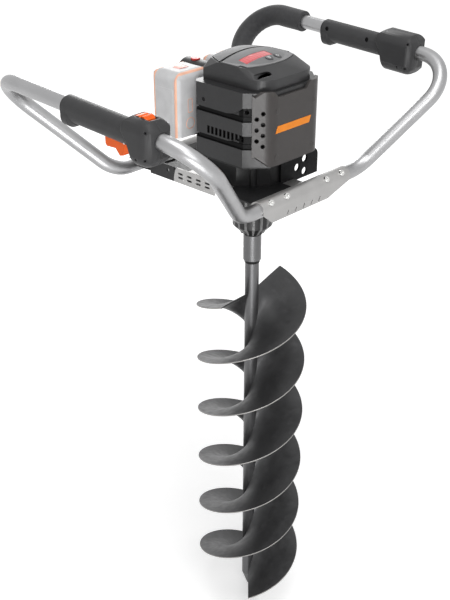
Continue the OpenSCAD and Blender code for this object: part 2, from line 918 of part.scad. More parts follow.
module motor_stator() {
    slots = 9;
    color("peru")
        translate([0, 0, body_z + stator_z])
            difference() {
                cylinder(h = stator_h, d = stator_d - 2 * seat_fit);
                translate([0, 0, -1]) cylinder(h = stator_h + 2, d = rotor_d + 2 * free_fit);
                for (i = [0 : slots - 1])
                    rotate([0, 0, i * 360 / slots])
                        translate([rotor_d / 2 + 11, 0, stator_h / 2])
                            cube([14, 6, stator_h + 2], center = true);
            }
}

module motor_bearings() {
    color("lightsteelblue") {
        translate([0, 0, deck + case_inner + bearing_lip])
            bearing(motor_shaft_d, small_bearing_d, small_bearing_w);
        translate([0, 0, body_z + upper_bearing_z])
            bearing(motor_shaft_d, small_bearing_d, small_bearing_w);
    }
}

module rotor() {
    low = deck + gear_high;
    high = body_z + can_h;
    color("slategray") {
        translate([0, 0, low]) cylinder(h = high - low, d = motor_shaft_d);
        translate([0, 0, body_z + stator_z + 1]) cylinder(h = stator_h - 2, d = rotor_d);
    }
}

module cooling_fan() {
    fan_d = stator_d - 8;
    hub_d = 24;
    color("#333333")
        translate([0, 0, body_z + fan_z])
            difference() {
                union() {
                    cylinder(h = 2, d = fan_d);
                    cylinder(h = fan_h, d = hub_d);
                    for (i = [0 : fan_blades - 1])
                        rotate([0, 0, i * 360 / fan_blades])
                            translate([hub_d / 2 - 1, -1, 1])
                                cube([(fan_d - hub_d) / 2, 2, fan_h - 1]);
                }
                translate([0, 0, -1]) cylinder(h = fan_h + 2, d = motor_shaft_d + 2 * seat_fit);
            }
}

// motor housing: moulded shell with two grooves round it, vents in its sides
groove_low = 29.5;
groove_high = 75;
groove_w = 8;
groove_deep = 3;
vent_count = 9;
vent_w = 4.2;
vent_h = 11.5;
vent_pitch = 8.9;
vent_rear = 22.7;
vent_z = 47;
boss_hole_d = 7;
side_boss = [33.5, 95];
pocket_h = 14.5;
pocket_deep = 4;

module body_plan(grow) {
    side = body_half + grow;
    front = -cover_front + cover_t - grow;
    rear = body_rear + grow;
    polygon([[-cover_half - 0.4 * grow, front], [cover_half + 0.4 * grow, front],
        [side, -facet_back - 0.4 * grow], [side, rear - 8], [side - 8, rear],
        [8 - side, rear], [-side, rear - 8], [-side, -facet_back - 0.4 * grow]]);
}

module motor_housing() {
    top_deck = 4;
    color("#36373a")
        translate([0, 0, body_z])
            difference() {
                union() {
                    linear_extrude(body_h) body_plan(-groove_deep);
                    band(0, groove_low);
                    band(groove_low + groove_w, groove_high);
                    band(groove_high + groove_w, body_h);
                }
                translate([0, 0, -1])
                    linear_extrude(body_h - top_deck + 1) body_plan(-groove_deep - body_wall);
                translate([0, 0, body_h - top_deck - 1])
                    linear_extrude(top_deck + 2) body_plan(-groove_deep - 48);
                for (side = [-1, 1], i = [0 : vent_count - 1])
                    translate([side * body_half, vent_rear - i * vent_pitch, vent_z])
                        cube([4 * body_wall + 6, vent_w, vent_h], center = true);
                for (side = [-1, 1])
                    translate([side * (body_half + eps), side_boss[0], side_boss[1]])
                        rotate([0, 90, 0]) cylinder(h = 6, d = boss_hole_d, center = true);
                for (side = [-1, 1])
                    on_facet(side, 0.84, groove_high + groove_w + pocket_h / 2)
                        cylinder(h = 4 * body_wall, d = boss_hole_d, center = true);
                difference() {
                    corner_pockets();
                    translate([0, 0, -1])
                        linear_extrude(body_h + 2) body_plan(-pocket_deep);
                }
                for (place = cover_holes)
                    translate([place[0], -cover_front, place[1]])
                        rotate([90, 0, 0])
                            cylinder(h = 60, d = case_screw_d + 2 * slide_fit, center = true);
            }
}

// recesses above the grooves, which open towards the front corners
module corner_pockets() {
    for (z = [groove_low + groove_w, groove_high + groove_w])
        translate([0, 0, z - eps])
            rotate([90, 0, 90])
                linear_extrude(2 * body_half + 2, center = true)
                    polygon([[-facet_back + 34, 0], [-facet_back + 18, 0.2 * pocket_h],
                        [-facet_back + 4, 0.8 * pocket_h], [-facet_back, pocket_h],
                        [-cover_front, pocket_h], [-cover_front, 0]]);
}

// frame on a corner facet: share runs from the front fold to the side, z out of the facet
module on_facet(side, share, z) {
    translate([side * (cover_half + facet.x * share), -cover_front + cover_t + facet.y * share, z])
        rotate([0, 0, side * atan2(facet.y, facet.x)])
            rotate([90, 0, 0]) children();
}

module band(from, to) {
    translate([0, 0, from]) linear_extrude(to - from) body_plan(0);
}

// front cover: plate that wraps both front corners
cover_low = 2;
cover_side = 0.67;
notch_deep = 10;
notch_right = 26;
cover_hole_d = 5.5;
facet = [body_half - cover_half, cover_front - cover_t - facet_back];
cover_holes = [for (side = [-1, 1], z = [16, body_h - 30]) [side * (cover_half - 10), z]];

module cover_plan() {
    lap = [cover_half + facet.x * cover_side, -cover_front + cover_t + facet.y * cover_side];
    slope = unit([facet.y, -facet.x]);
    edge = lap + slope * cover_t;
    fold = [cover_half, -cover_front + cover_t];
    outer_fold = [cover_half + 1.5, -cover_front];
    polygon([[-lap.x, lap.y], [-fold.x, fold.y], fold, lap, edge, outer_fold,
        [-outer_fold.x, outer_fold.y], [-edge.x, edge.y]]);
}

module front_cover() {
    hole_rows = 7;
    hole_pitch = 8.95;
    corner_cut = [[body_h + 3, 13], [cover_low, 24]];
    color("#6a6764")
        translate([0, 0, body_z])
            difference() {
                translate([0, 0, cover_low])
                    linear_extrude(body_h - cover_low + 3) cover_plan();
                for (side = [-1, 1], cut = corner_cut)
                    translate([side * (cover_half + facet.x * cover_side),
                        facet.y * cover_side - cover_front, cut[0]])
                        rotate([0, 45, 0]) cube([cut[1], 3 * facet.y, cut[1]], center = true);
                translate([0, -cover_front, body_h + 3])
                    rotate([90, 0, 0])
                        linear_extrude(4 * cover_t, center = true)
                            polygon([[-cover_half + 1, 1], [-cover_half + 12, -notch_deep],
                                [notch_right, -notch_deep], [notch_right + 9, 1]]);
                for (side = [-1, 1], i = [0 : hole_rows - 1])
                    on_facet(side, i % 2 == 0 ? 0.28 : 0.5, 37 + i * hole_pitch)
                        cylinder(h = 4 * cover_t, d = cover_hole_d, center = true);
                for (place = cover_holes)
                    translate([place[0], -cover_front, place[1]])
                        rotate([90, 0, 0])
                            cylinder(h = 4 * cover_t, d = case_screw_d + 2 * slide_fit, center = true);
            }
}

module cover_screws() {
    color("gray")
        for (place = cover_holes)
            translate([place[0], -cover_front + 1, body_z + place[1]])
                rotate([-90, 0, 0]) cylinder(h = 14, d = case_screw_d);
}

// lid: upright band, sloped shoulder, crowned control panel on top
lid_z = body_top;
panel_z = lid_z + lid_band + lid_slope;

lid_rear_cut = 5;
panel_margin = 1.5;

module lid_plan(inset) {
    side = lid_half - inset;
    front = inset - lid_front;
    rear = lid_rear - inset;
    r = lid_corner_r - inset;
    cut = lid_rear_cut;
    union() {
        for (x = [r - side, side - r])
            translate([x, front + r]) circle(r = r);
        translate([r - side, front]) square([2 * (side - r), r]);
        polygon([[-side, front + r], [side, front + r], [side, rear - cut], [side - cut, rear],
            [cut - side, rear], [-side, rear - cut]]);
    }
}

module lid_form(inset) {
    hull() {
        translate([0, 0, lid_z]) linear_extrude(lid_band) lid_plan(inset);
        translate([0, 0, panel_z - inset - 0.1])
            linear_extrude(0.1) panel_plan(panel_margin - inset);
    }
}

// oval port in the lid's front shoulder
port_at = [-48, -62];
port_drop = 5.5;
port_len = 32;
port_w = 11;
port_turn = -10;
port_tilt = 35;

module top_lid() {
    lid_wall = 3;
    color("#36373a")
        difference() {
            lid_form(0);
            translate([0, 0, -1]) lid_form(lid_wall);
            translate([0, 0, panel_z])
                linear_extrude(20, center = true) panel_plan(-4);
            translate([port_at[0], port_at[1], panel_z - port_drop])
                rotate([0, 0, port_turn])
                    rotate([port_tilt, 0, 0]) slot(port_len, port_w, 14);
        }
}

// control panel: domed plate with a groove across, a display and two buttons
panel_front = 49;
panel_rear = 50;
panel_bow_r = 115;
panel_step = -20;
panel_wing = 6;
panel_cut = [15, 30];
panel_rim = 1.5;
crown_y = 15;
crown_r = ((panel_front + crown_y) ^ 2 + crown_h ^ 2) / (2 * crown_h);
crown_z = panel_z + crown_h - crown_r;
panel_groove_y = 17;
panel_groove_w = 3.4;
panel_groove_deep = 2.5;
display_w = 61;
display_l = 19;
display_x = -13.5;
display_y = -14;
button_y = -32;

// plan of the panel: bowed front, a step at each side, cut rear corners
module panel_plan(grow) {
    side = panel_half + grow;
    brow = side - panel_wing;
    rear = panel_rear + grow;
    union() {
        intersection() {
            translate([-brow, -panel_front - grow]) square([2 * brow, panel_front]);
            translate([0, panel_bow_r - panel_front]) circle(r = panel_bow_r + grow, $fn = 180);
        }
        polygon([[-side, panel_step], [side, panel_step], [side, rear - panel_cut[1]],
            [side - panel_cut[0], rear], [panel_cut[0] - side, rear], [-side, rear - panel_cut[1]]]);
    }
}

module crown(drop) {
    translate([0, crown_y, crown_z]) sphere(r = crown_r - drop, $fn = 120);
}

module control_panel() {
    color("#8b8c8e")
        difference() {
            union() {
                intersection() {
                    translate([0, 0, panel_z])
                        linear_extrude(crown_h + 1) panel_plan(0);
                    crown(0);
                }
                translate([0, 0, panel_z])
                    linear_extrude(panel_rim) panel_plan(0);
            }
            intersection() {
                translate([0, 0, panel_z - 1])
                    linear_extrude(crown_h) panel_plan(-6);
                crown(4);
            }
            difference() {
                translate([-panel_half - 1, panel_groove_y, panel_z])
                    cube([2 * panel_half + 2, panel_groove_w, crown_h + 1]);
                crown(panel_groove_deep);
            }
            display_well(0.2);
            for (place = button_places)
                translate([place[0], place[1], panel_z - 1])
                    cylinder(h = crown_h + 2, d = button_d + 2 * slide_fit);
        }
}

module display_well(grow) {
    difference() {
        translate([display_x - display_w / 2 - grow, display_y - display_l / 2 - grow, panel_z])
            cube([display_w + 2 * grow, display_l + 2 * grow, crown_h + 1]);
        crown(2.2 + grow);
    }
}

module display_lens() {
    color("#d8404a")
        intersection() {
            display_well(0);
            crown(0.4);
        }
}

button_d = 13;
button_travel = 1;
button_places = [[-1, button_y], [20, button_y + 1]];

module panel_button(place) {
    intersection() {
        translate([place[0], place[1], board_z + board_t + 2 * button_travel])
            cylinder(h = crown_h + lid_slope, d = button_d);
        crown(-1.2);
    }
}

module mode_button() {
    color("whitesmoke") panel_button(button_places[0]);
}

module power_button() {
    color("#444444") panel_button(button_places[1]);
}

board_t = 1.6;
board_z = panel_z - 12;

module control_board() {
    color("seagreen")
        union() {
            translate([-panel_half + 12, -panel_front + 10, board_z])
                cube([2 * panel_half - 24, panel_front + panel_rear - 20, board_t]);
            for (x = [-panel_half + 18, panel_half - 18], y = [-panel_front + 16, panel_rear - 16])
                translate([x, y, lid_z]) cylinder(h = board_z - lid_z + eps, d = 7);
        }
}

// battery tower: dock between the batteries, with a T-shaped rail on each side
tower_half = (battery_pitch - battery_w) / 2 - slide_fit;
tower_top = battery_bottom + battery_h - 2;
tower_rear = battery_front + battery_l + 14;
rail_mid = battery_front + battery_l / 2;
rail_top = battery_bottom + battery_h - 22;
rail_neck = 4;
rail_head = 5;

module rail_plan(grow) {
    translate([-eps, -rail_neck_w / 2 - grow])
        square([rail_neck + 2 * eps, rail_neck_w + 2 * grow]);
    translate([rail_neck - grow, -rail_head_w / 2 - grow])
        square([rail_head + 2 * grow, rail_head_w + 2 * grow]);
}

key_d = 17;
key_y = rail_mid + 24;
key_travel = 3;
key_deep = 12;
tower_round = 14;

module battery_tower() {
    foot_l = gear_case_rear - body_rear;
    color("#232325")
        translate([0, 0, deck])
            difference() {
                union() {
                    translate([-tower_half, body_rear, body_bottom])
                        cube([2 * tower_half, foot_l, battery_bottom - body_bottom + eps]);
                    translate([-tower_half, body_rear, battery_bottom])
                        cube([2 * tower_half, tower_rear - body_rear,
                            tower_top - tower_round - battery_bottom]);
                    translate([0, tower_rear, tower_top - tower_round])
                        rotate([90, 0, 0])
                            linear_extrude(tower_rear - body_rear)
                                intersection() {
                                    translate([0, tower_round - tower_half - 6])
                                        circle(r = tower_half + 6);
                                    translate([-tower_half, -eps])
                                        square([2 * tower_half, tower_half]);
                                }
                    for (side = [-1, 1])
                        translate([side * tower_half, rail_mid, battery_bottom + 8])
                            mirror([side < 0 ? 1 : 0, 0, 0])
                                linear_extrude(rail_top - battery_bottom - 8) rail_plan(0);
                }
                translate([0, key_y, tower_top - key_deep])
                    cylinder(h = 2 * key_deep, d = key_d);
            }
}

module safety_key() {
    color("#e23b3b")
        translate([0, key_y, deck + tower_top - key_deep + key_travel])
            cylinder(h = key_deep - key_travel + 2, d = key_d - 2 * slide_fit);
}

// battery: rounded pack that slides down over the tower's rail
module battery_form() {
    corner = 9;
    shoulder = 16;
    intersection() {
        translate([-battery_w / 2, 0, 0])
            linear_extrude(battery_h) rounded(battery_w, battery_l, corner);
        rotate([90, 0, 0])
            translate([-battery_w / 2, -shoulder, -battery_l - 1])
                linear_extrude(battery_l + 2)
                    rounded(battery_w, battery_h + shoulder, shoulder);
        rotate([90, 0, 90])
            translate([0, -shoulder, -battery_w / 2 - 1])
                linear_extrude(battery_w + 2)
                    rounded(battery_l, battery_h + shoulder, shoulder - 3);
    }
}

module rounded(w, l, r) {
    translate([r, 0]) square([w - 2 * r, l]);
    translate([0, r]) square([w, l - 2 * r]);
    for (x = [r, w - r], y = [r, l - r])
        translate([x, y]) circle(r = r);
}

module battery(side) {
    translate([side * battery_pitch / 2, battery_front, deck + battery_bottom])
        difference() {
            battery_form();
            translate([-side * (battery_w / 2 + slide_fit), battery_l / 2, -1])
                mirror([side < 0 ? 1 : 0, 0, 0])
                    linear_extrude(rail_top - battery_bottom + 1) rail_plan(slide_fit);
            translate([0, battery_l / 2, battery_h - release_deep])
                battery_button_plan(slide_fit);
        }
}

release_deep = 9;
release_travel = 2.5;

module battery_button_plan(grow) {
    linear_extrude(2 * release_deep) square([22 + 2 * grow, 16 + 2 * grow], center = true);
}

module battery_button(side) {
    translate([side * battery_pitch / 2, battery_front + battery_l / 2, deck + battery_bottom + battery_h])
        intersection() {
            translate([0, 0, release_travel + 0.5 - release_deep]) battery_button_plan(0);
            translate([0, 0, 1.5 - battery_w / 2])
                rotate([90, 0, 0]) cylinder(h = battery_l, d = battery_w, center = true);
        }
}

module left_battery() {
    color("#c9c9c9") battery(-1);
}

module right_battery() {
    color("#c9c9c9") battery(1);
}

module left_battery_button() {
    color("#f0b0a8") battery_button(-1);
}

module right_battery_button() {
    color("#f0b0a8") battery_button(1);
}

// grips, with a stadium section and a finger stop at the rear
module along_y(from, to) {
    translate([0, to, 0])
        rotate([90, 0, 0]) linear_extrude(to - from) children();
}

module grip_section(r) {
    translate([0, -grip_top]) circle(r = r);
    translate([0, -grip_low]) circle(r = r);
    translate([-r, -grip_low]) square([2 * r, grip_low - grip_top]);
}

module finger_stop(rear) {
    edge = 5;
    r = grip_r + 1.5;
    translate([0, rear, -grip_low - stop_drop])
        rotate([90, 0, 0]) {
            cylinder(h = edge, r1 = r - edge, r2 = r);
            translate([0, 0, edge]) cylinder(h = stop_len - 3 * edge, r = r);
            translate([0, 0, stop_len - 2 * edge])
                cylinder(h = 2 * edge, r1 = r, r2 = r - edge);
        }
}

module grip(front, length) {
    rear = front + length;
    difference() {
        union() {
            along_y(front, rear - 3)
                grip_section(grip_r);
            along_y(rear - 4, rear)
                grip_section(grip_r - 2);
            finger_stop(rear);
        }
        along_y(front - 1, rear + 1)
            circle(r = tube_d / 2 + seat_fit);
    }
}

module left_grip() {
    slot_front = trigger_pivot_y - trigger_boss - free_fit;
    slot_rear = trigger_rear + free_fit;
    color("#4a4b4e")
        at_handle(-1)
            difference() {
                grip(left_front, left_grip_len);
                translate([0, (slot_front + slot_rear) / 2, -tube_d])
                    cube([trigger_w + 2 * slide_fit, slot_rear - slot_front, 2 * tube_d - grip_r],
                        center = true);
                trigger_pin_bore();
            }
}

module trigger_pin_bore() {
    translate([0, trigger_pivot_y, -trigger_pivot_drop])
        rotate([0, 90, 0])
            cylinder(h = 4 * grip_r, d = trigger_pin_d + 2 * seat_fit, center = true);
}

grip_hole_rear = 16;
grip_hole_front = 27;

module right_grip() {
    color("#4a4b4e")
        at_handle(1)
            difference() {
                grip(right_front, right_grip_len);
                for (y = [right_front + right_grip_len - grip_hole_rear, right_front + grip_hole_front])
                    translate([-grip_r, y, 3])
                        rotate([0, 90, 0]) cylinder(h = 6, d = 2 * case_screw_d, center = true);
            }
}

// housing in front of a grip, in two halves; its rear edge leans forward towards the bottom
module housing_form(rear, length, lean) {
    front = rear - length;
    intersection() {
        along_y(front, rear)
            translate([-housing_w / 2, -housing_low])
                rounded(housing_w, housing_top + housing_low, housing_r);
        translate([-housing_w / 2, front, -housing_low - 1])
            linear_extrude(housing_low + housing_top + 2)
                rounded(housing_w, length + 2 * housing_nose_r, housing_nose_r);
        rotate([90, 0, 90])
            linear_extrude(housing_w + 2, center = true)
                polygon([
                    [rear - 1.3 * housing_taper, housing_top + 1], [rear, housing_top - housing_taper],
                    [rear, 8], [rear - 0.25 * lean, 0], [rear - 0.6 * lean, -14],
                    [rear - lean, -housing_low - 1], [front + housing_chamfer, -housing_low - 1],
                    [front, -housing_low + housing_chamfer], [front, housing_top - 1.5 * housing_chamfer],
                    [front + 1.5 * housing_chamfer, housing_top + 1]
                ]);
    }
}

// places of the housing screws: distance from the front end, height
housing_screw_places = [[10, -27], [26, -27], [10, 17]];
screw_sunk = 8;

module housing_bores(rear, length) {
    along_y(rear - length - 1, rear + 1)
        circle(r = tube_d / 2 + seat_fit);
    for (place = housing_screw_places)
        translate([0, rear - length + place[0], place[1]])
            rotate([0, 90, 0]) {
                cylinder(h = housing_w + 2, d = case_screw_d + 2 * seat_fit, center = true);
                translate([0, 0, housing_w / 2 - screw_sunk])
                    cylinder(h = housing_w, d = case_screw_d + 4);
            }
}

module half(side) {
    translate([side * housing_w, 0, 0])
        cube([2 * housing_w, 8 * housing_w, 4 * housing_w], center = true);
}

// space inside the left housing for the switch and the lock slider
trigger_boss = 4.5;
lock_floor = 5;
switch_w = 16;
switch_l = 24;
switch_h = 9;
switch_y = left_front - 25;
switch_z = -tube_d / 2 - 3 - switch_h / 2;

module control_space() {
    lock_l = lock_len + lock_travel + 2 * slide_fit;
    translate([0, switch_y, switch_z])
        cube([switch_w + 2 * seat_fit, switch_l + 2 * seat_fit, switch_h + 2 * seat_fit], center = true);
    translate([0, lock_y - lock_travel / 2, housing_top])
        cube([lock_w + 2 * slide_fit, lock_l, 2 * lock_floor], center = true);
}

module left_housing(side) {
    color("#3e3f41")
        at_handle(-1)
            difference() {
                intersection() {
                    housing_form(left_front, left_housing_len, 26);
                    half(side);
                }
                housing_bores(left_front, left_housing_len);
                control_space();
            }
}

module right_housing(side) {
    color("#3e3f41")
        at_handle(1)
            difference() {
                intersection() {
                    housing_form(right_front, right_housing_len, 20);
                    half(side);
                }
                housing_bores(right_front, right_housing_len);
            }
}

module left_housing_outer() {
    left_housing(-1);
}

module left_housing_inner() {
    left_housing(1);
}

module right_housing_outer() {
    right_housing(1);
}

module right_housing_inner() {
    right_housing(-1);
}

module side_screws(rear, length) {
    screw_l = housing_w - 3 * screw_sunk;
    for (place = housing_screw_places)
        translate([housing_w / 2 - screw_sunk, rear - length + place[0], place[1]])
            rotate([0, 90, 0]) {
                translate([0, 0, -screw_l]) cylinder(h = screw_l + 1, d = case_screw_d);
                cylinder(h = 2.5, d = case_screw_d + 3);
            }
}

module housing_screws() {
    color("gray") {
        at_handle(1) side_screws(right_front, right_housing_len);
        at_handle(-1) side_screws(left_front, left_housing_len);
    }
}

module trigger_pin() {
    color("gainsboro")
        at_handle(-1)
            translate([0, trigger_pivot_y, -trigger_pivot_drop])
                rotate([0, 90, 0]) cylinder(h = 1.3 * grip_r, d = trigger_pin_d, center = true);
}

module trigger_switch() {
    color("#222222")
        at_handle(-1)
            translate([0, switch_y, switch_z])
                cube([switch_w, switch_l, switch_h], center = true);
}

// trigger: lever on a cross pin, with a finger hook at its front
module trigger() {
    pivot = [trigger_pivot_y, -trigger_pivot_drop];
    color("#ff6a1f")
        at_handle(-1)
            rotate([90, 0, 90])
                difference() {
                    union() {
                        translate(pivot)
                            cylinder(h = trigger_w, r = trigger_boss, center = true);
                        linear_extrude(trigger_w, center = true)
                            polygon([[pivot.x, pivot.y + trigger_boss - 1], [trigger_rear, -tube_d / 2 - 6],
                                [trigger_rear - 1, -trigger_low + 3], [trigger_rear - 4, -trigger_low],
                                [pivot.x + 24, -trigger_low + 2], [pivot.x + 15, -trigger_low - 7],
                                [pivot.x + 8, -trigger_low - 5], [pivot.x + 5, pivot.y - trigger_boss - 3],
                                [pivot.x, pivot.y - trigger_boss + 1]]);
                    }
                    translate(pivot)
                        cylinder(h = trigger_w + 2, d = trigger_pin_d + 2 * run_fit, center = true);
                }
}

module lock_slider() {
    color("#ff6a1f")
        at_handle(-1)
            translate([0, lock_y, housing_top - lock_floor + 0.1])
                rotate([90, 0, 90])
                    linear_extrude(lock_w, center = true)
                        polygon([[-lock_len / 2, 0], [lock_len / 2, 0], [lock_len / 2, lock_floor - 1],
                            [4, lock_floor + 1], [0, lock_floor - 0.5], [-4, lock_floor + 2.5],
                            [-lock_len / 2 + 5, lock_floor + 2], [-lock_len / 2, lock_floor - 2]]);
}

// foam sleeve round the rear right corner
module foam_sleeve() {
    corner = corner_at(1, corner_rear, rise_rear);
    foot = foot_at(1, rail_rear);
    end = corner + (foot - corner) * foam_share;
    path = [along_handle(1, foam_front), corner, end];
    color("#2b2b2b") bent_tube(path, [0, corner_r, 0], foam_d, tube_d + 2 * seat_fit);
}

front_handlebar();
rear_handlebar();
joiner_sleeves();
base_tray();
rear_bracket();
cross_plate();
front_clamp();
rear_clamp();
front_saddle();
rear_saddle();
front_saddle_screws();
rear_saddle_screws();
gear_case();
gearbox_nose();
motor_plate();
motor_can();
motor_housing();
front_cover();
cover_screws();
top_lid();
control_panel();
display_lens();
control_board();
battery_tower();
safety_key();
motor_stator();
motor_bearings();
layshaft_bearings();
spindle_bearings();
shaft_seal();
left_grip();
right_grip();
left_housing_outer();
left_housing_inner();
right_housing_outer();
right_housing_inner();
housing_screws();
trigger_pin();
trigger_switch();
foam_sleeve();
output_spindle();
output_gear();
bit_shaft();
flight_a();
flight_b();
coupling_pin();
rotor();
motor_pinion();
cooling_fan();
layshaft();
layshaft_gear();
layshaft_pinion();
trigger();
lock_slider();
left_battery();
left_battery_button();
right_battery();
right_battery_button();
mode_button();
power_button();
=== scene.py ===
"""Looks of the earth auger: studio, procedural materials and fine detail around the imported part."""

import math

import bmesh
import bpy
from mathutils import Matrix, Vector, noise


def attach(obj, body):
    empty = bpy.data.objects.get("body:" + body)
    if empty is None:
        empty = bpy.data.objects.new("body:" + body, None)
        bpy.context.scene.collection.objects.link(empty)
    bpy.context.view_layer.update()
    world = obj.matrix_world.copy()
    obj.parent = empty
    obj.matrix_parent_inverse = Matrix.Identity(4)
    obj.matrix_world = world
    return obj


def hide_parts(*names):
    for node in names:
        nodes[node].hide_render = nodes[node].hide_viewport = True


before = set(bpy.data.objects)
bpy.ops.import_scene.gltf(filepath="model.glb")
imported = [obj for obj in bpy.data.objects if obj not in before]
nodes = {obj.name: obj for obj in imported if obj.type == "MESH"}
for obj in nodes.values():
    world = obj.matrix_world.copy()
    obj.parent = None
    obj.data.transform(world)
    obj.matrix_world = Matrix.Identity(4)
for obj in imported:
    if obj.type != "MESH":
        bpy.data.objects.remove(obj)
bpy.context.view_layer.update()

MM = 0.001
RIGHT = (1, 0, 0)
UP = (0, 0, 1)

# camera, at the photograph's viewing angle
CAMERA_AT = (-1.2736, -1.1468, 1.5815)
CAMERA_ALONG = (0.6395, 0.6092, -0.4689)
CAMERA_LENS = 64.2
CAMERA_SENSOR = 36

# bit, in millimetres like all sizes of the part
FLIGHT_LOW = 46
FLIGHT_LEN = 652
FLIGHT_LEAD = 224
FLIGHT_T = 4
FLIGHT_DISH = 10
FLIGHT_START = 42.5
FLIGHT_R = 100
SHAFT_R = 12.5
COLLAR_Z = 752

# ribs round the gearbox nose, with a highlight painted on them: how many, their radius and their width
NOSE_RIBS = 16
NOSE_R = 30
NOSE_RIB_W = 3.6

# handlebar, with its grips and its foam sleeve
DECK = 914
RAIL_HALF = 150
RAIL_REAR = 184
HANDLE_HALF = 316
CORNER_FRONT = 198
CORNER_REAR = 314
RISE_FRONT = 164
RISE_REAR = 187
CORNER_R = 60
HANDLE_TILT = math.atan2(RISE_REAR - RISE_FRONT, CORNER_REAR + CORNER_FRONT)
HANDLE_Z = DECK + RISE_FRONT + CORNER_FRONT * math.tan(HANDLE_TILT)
TUBE_R = 12.5
GRIP_R = 17
# depth under a grip's skin past which shade is painted
GRIP_SKIN = 1.4
FOAM_D = 39
FOAM_FRONT = 158
FOAM_SHARE = 0.62

# motor body: grooves with pockets at the facets, and rows of vents, all with painted shade; heights are
# above the body's foot
BODY_Z = DECK + 50
BODY_H = 122
BODY_HALF = 85
FACET_BACK = 52
GROOVES = (29.5, 75)
GROOVE_W = 8
POCKET_H = 14.5
POCKET_DEPTHS = (1.6, 10)
SIDE_SKIN = 1
VENT_BAND = (40.8, 53.2)
VENTS = (-48.5, 22.7)
VENT_PITCH = 8.9
VENT_LIP = 2.7
VENT_SKIN = 0.5

# front cover, folded over the body's front and facets
COVER_FRONT = 90
COVER_FOLD = (54, 85)
COVER_EDGE = 74.8
FACET = Vector((BODY_HALF - COVER_FOLD[0], COVER_FOLD[1] - FACET_BACK))

# painted shade on the body's skin behind the cover's holes: heights, room to the cover's edge, reach from
# the facet
BEHIND_HOLES = (32, 96)
BEHIND_ROOM = 3
BEHIND_REACH = 9

# two staggered columns of holes: each has its share of the facet's length, first row and number of holes
HOLE_FIRST = 37
HOLE_PITCH = 8.95
HOLE_COLUMNS = ((0.28, 0, 4), (0.5, 1, 3))
# radius of the painted shade round each hole
HOLE_RIM_R = 3.6

# crowned control panel
PANEL_Z = BODY_Z + BODY_H + 31
PANEL_FRONT = 49
# seam across the panel, from and to, where shade is painted
PANEL_SEAM = (16.2, 21.2)
CROWN_H = 10
CROWN_Y = 15
CROWN_R = ((PANEL_FRONT + CROWN_Y) ** 2 + CROWN_H ** 2) / (2 * CROWN_H)
BUTTONS = {"mode": (-1, -32), "power": (20, -31)}
BUTTON_PROUD = 1.2
DISPLAY_Y = -14
DISPLAY_CELL = 6.6
DISPLAY_BAR = 0.9
DISPLAY_BAND = 11

# batteries
BATTERY_W = 76
BATTERY_L = 62
BATTERY_H = 109
BATTERY_PITCH = 117
BATTERY_FRONT = 81
BATTERY_Z = DECK + 68
BATTERY_FOOT = 0.5
BATTERY_CORNER = 9
BATTERY_SHOULDER = 16
BATTERY_END_R = 13


def srgb(red, green, blue):
    """Linear colour of an 8-bit screen colour."""
    def linear(value):
        value /= 255
        return value / 12.92 if value <= 0.04045 else ((value + 0.055) / 1.055) ** 2.4
    return (linear(red), linear(green), linear(blue), 1.0)


def shade(colour, factor):
    """Colour made lighter or darker by a factor."""
    return tuple(min(1.0, channel * factor) for channel in colour[:3]) + (1.0,)


# the middle of a noise's range, where most of its values lie
NOISE_SPAN = (0.3, 0.7)

# cosines between a face and its rounded edge at which the mask of edges starts and is full
EDGE_SPAN = (0.985, 0.85)


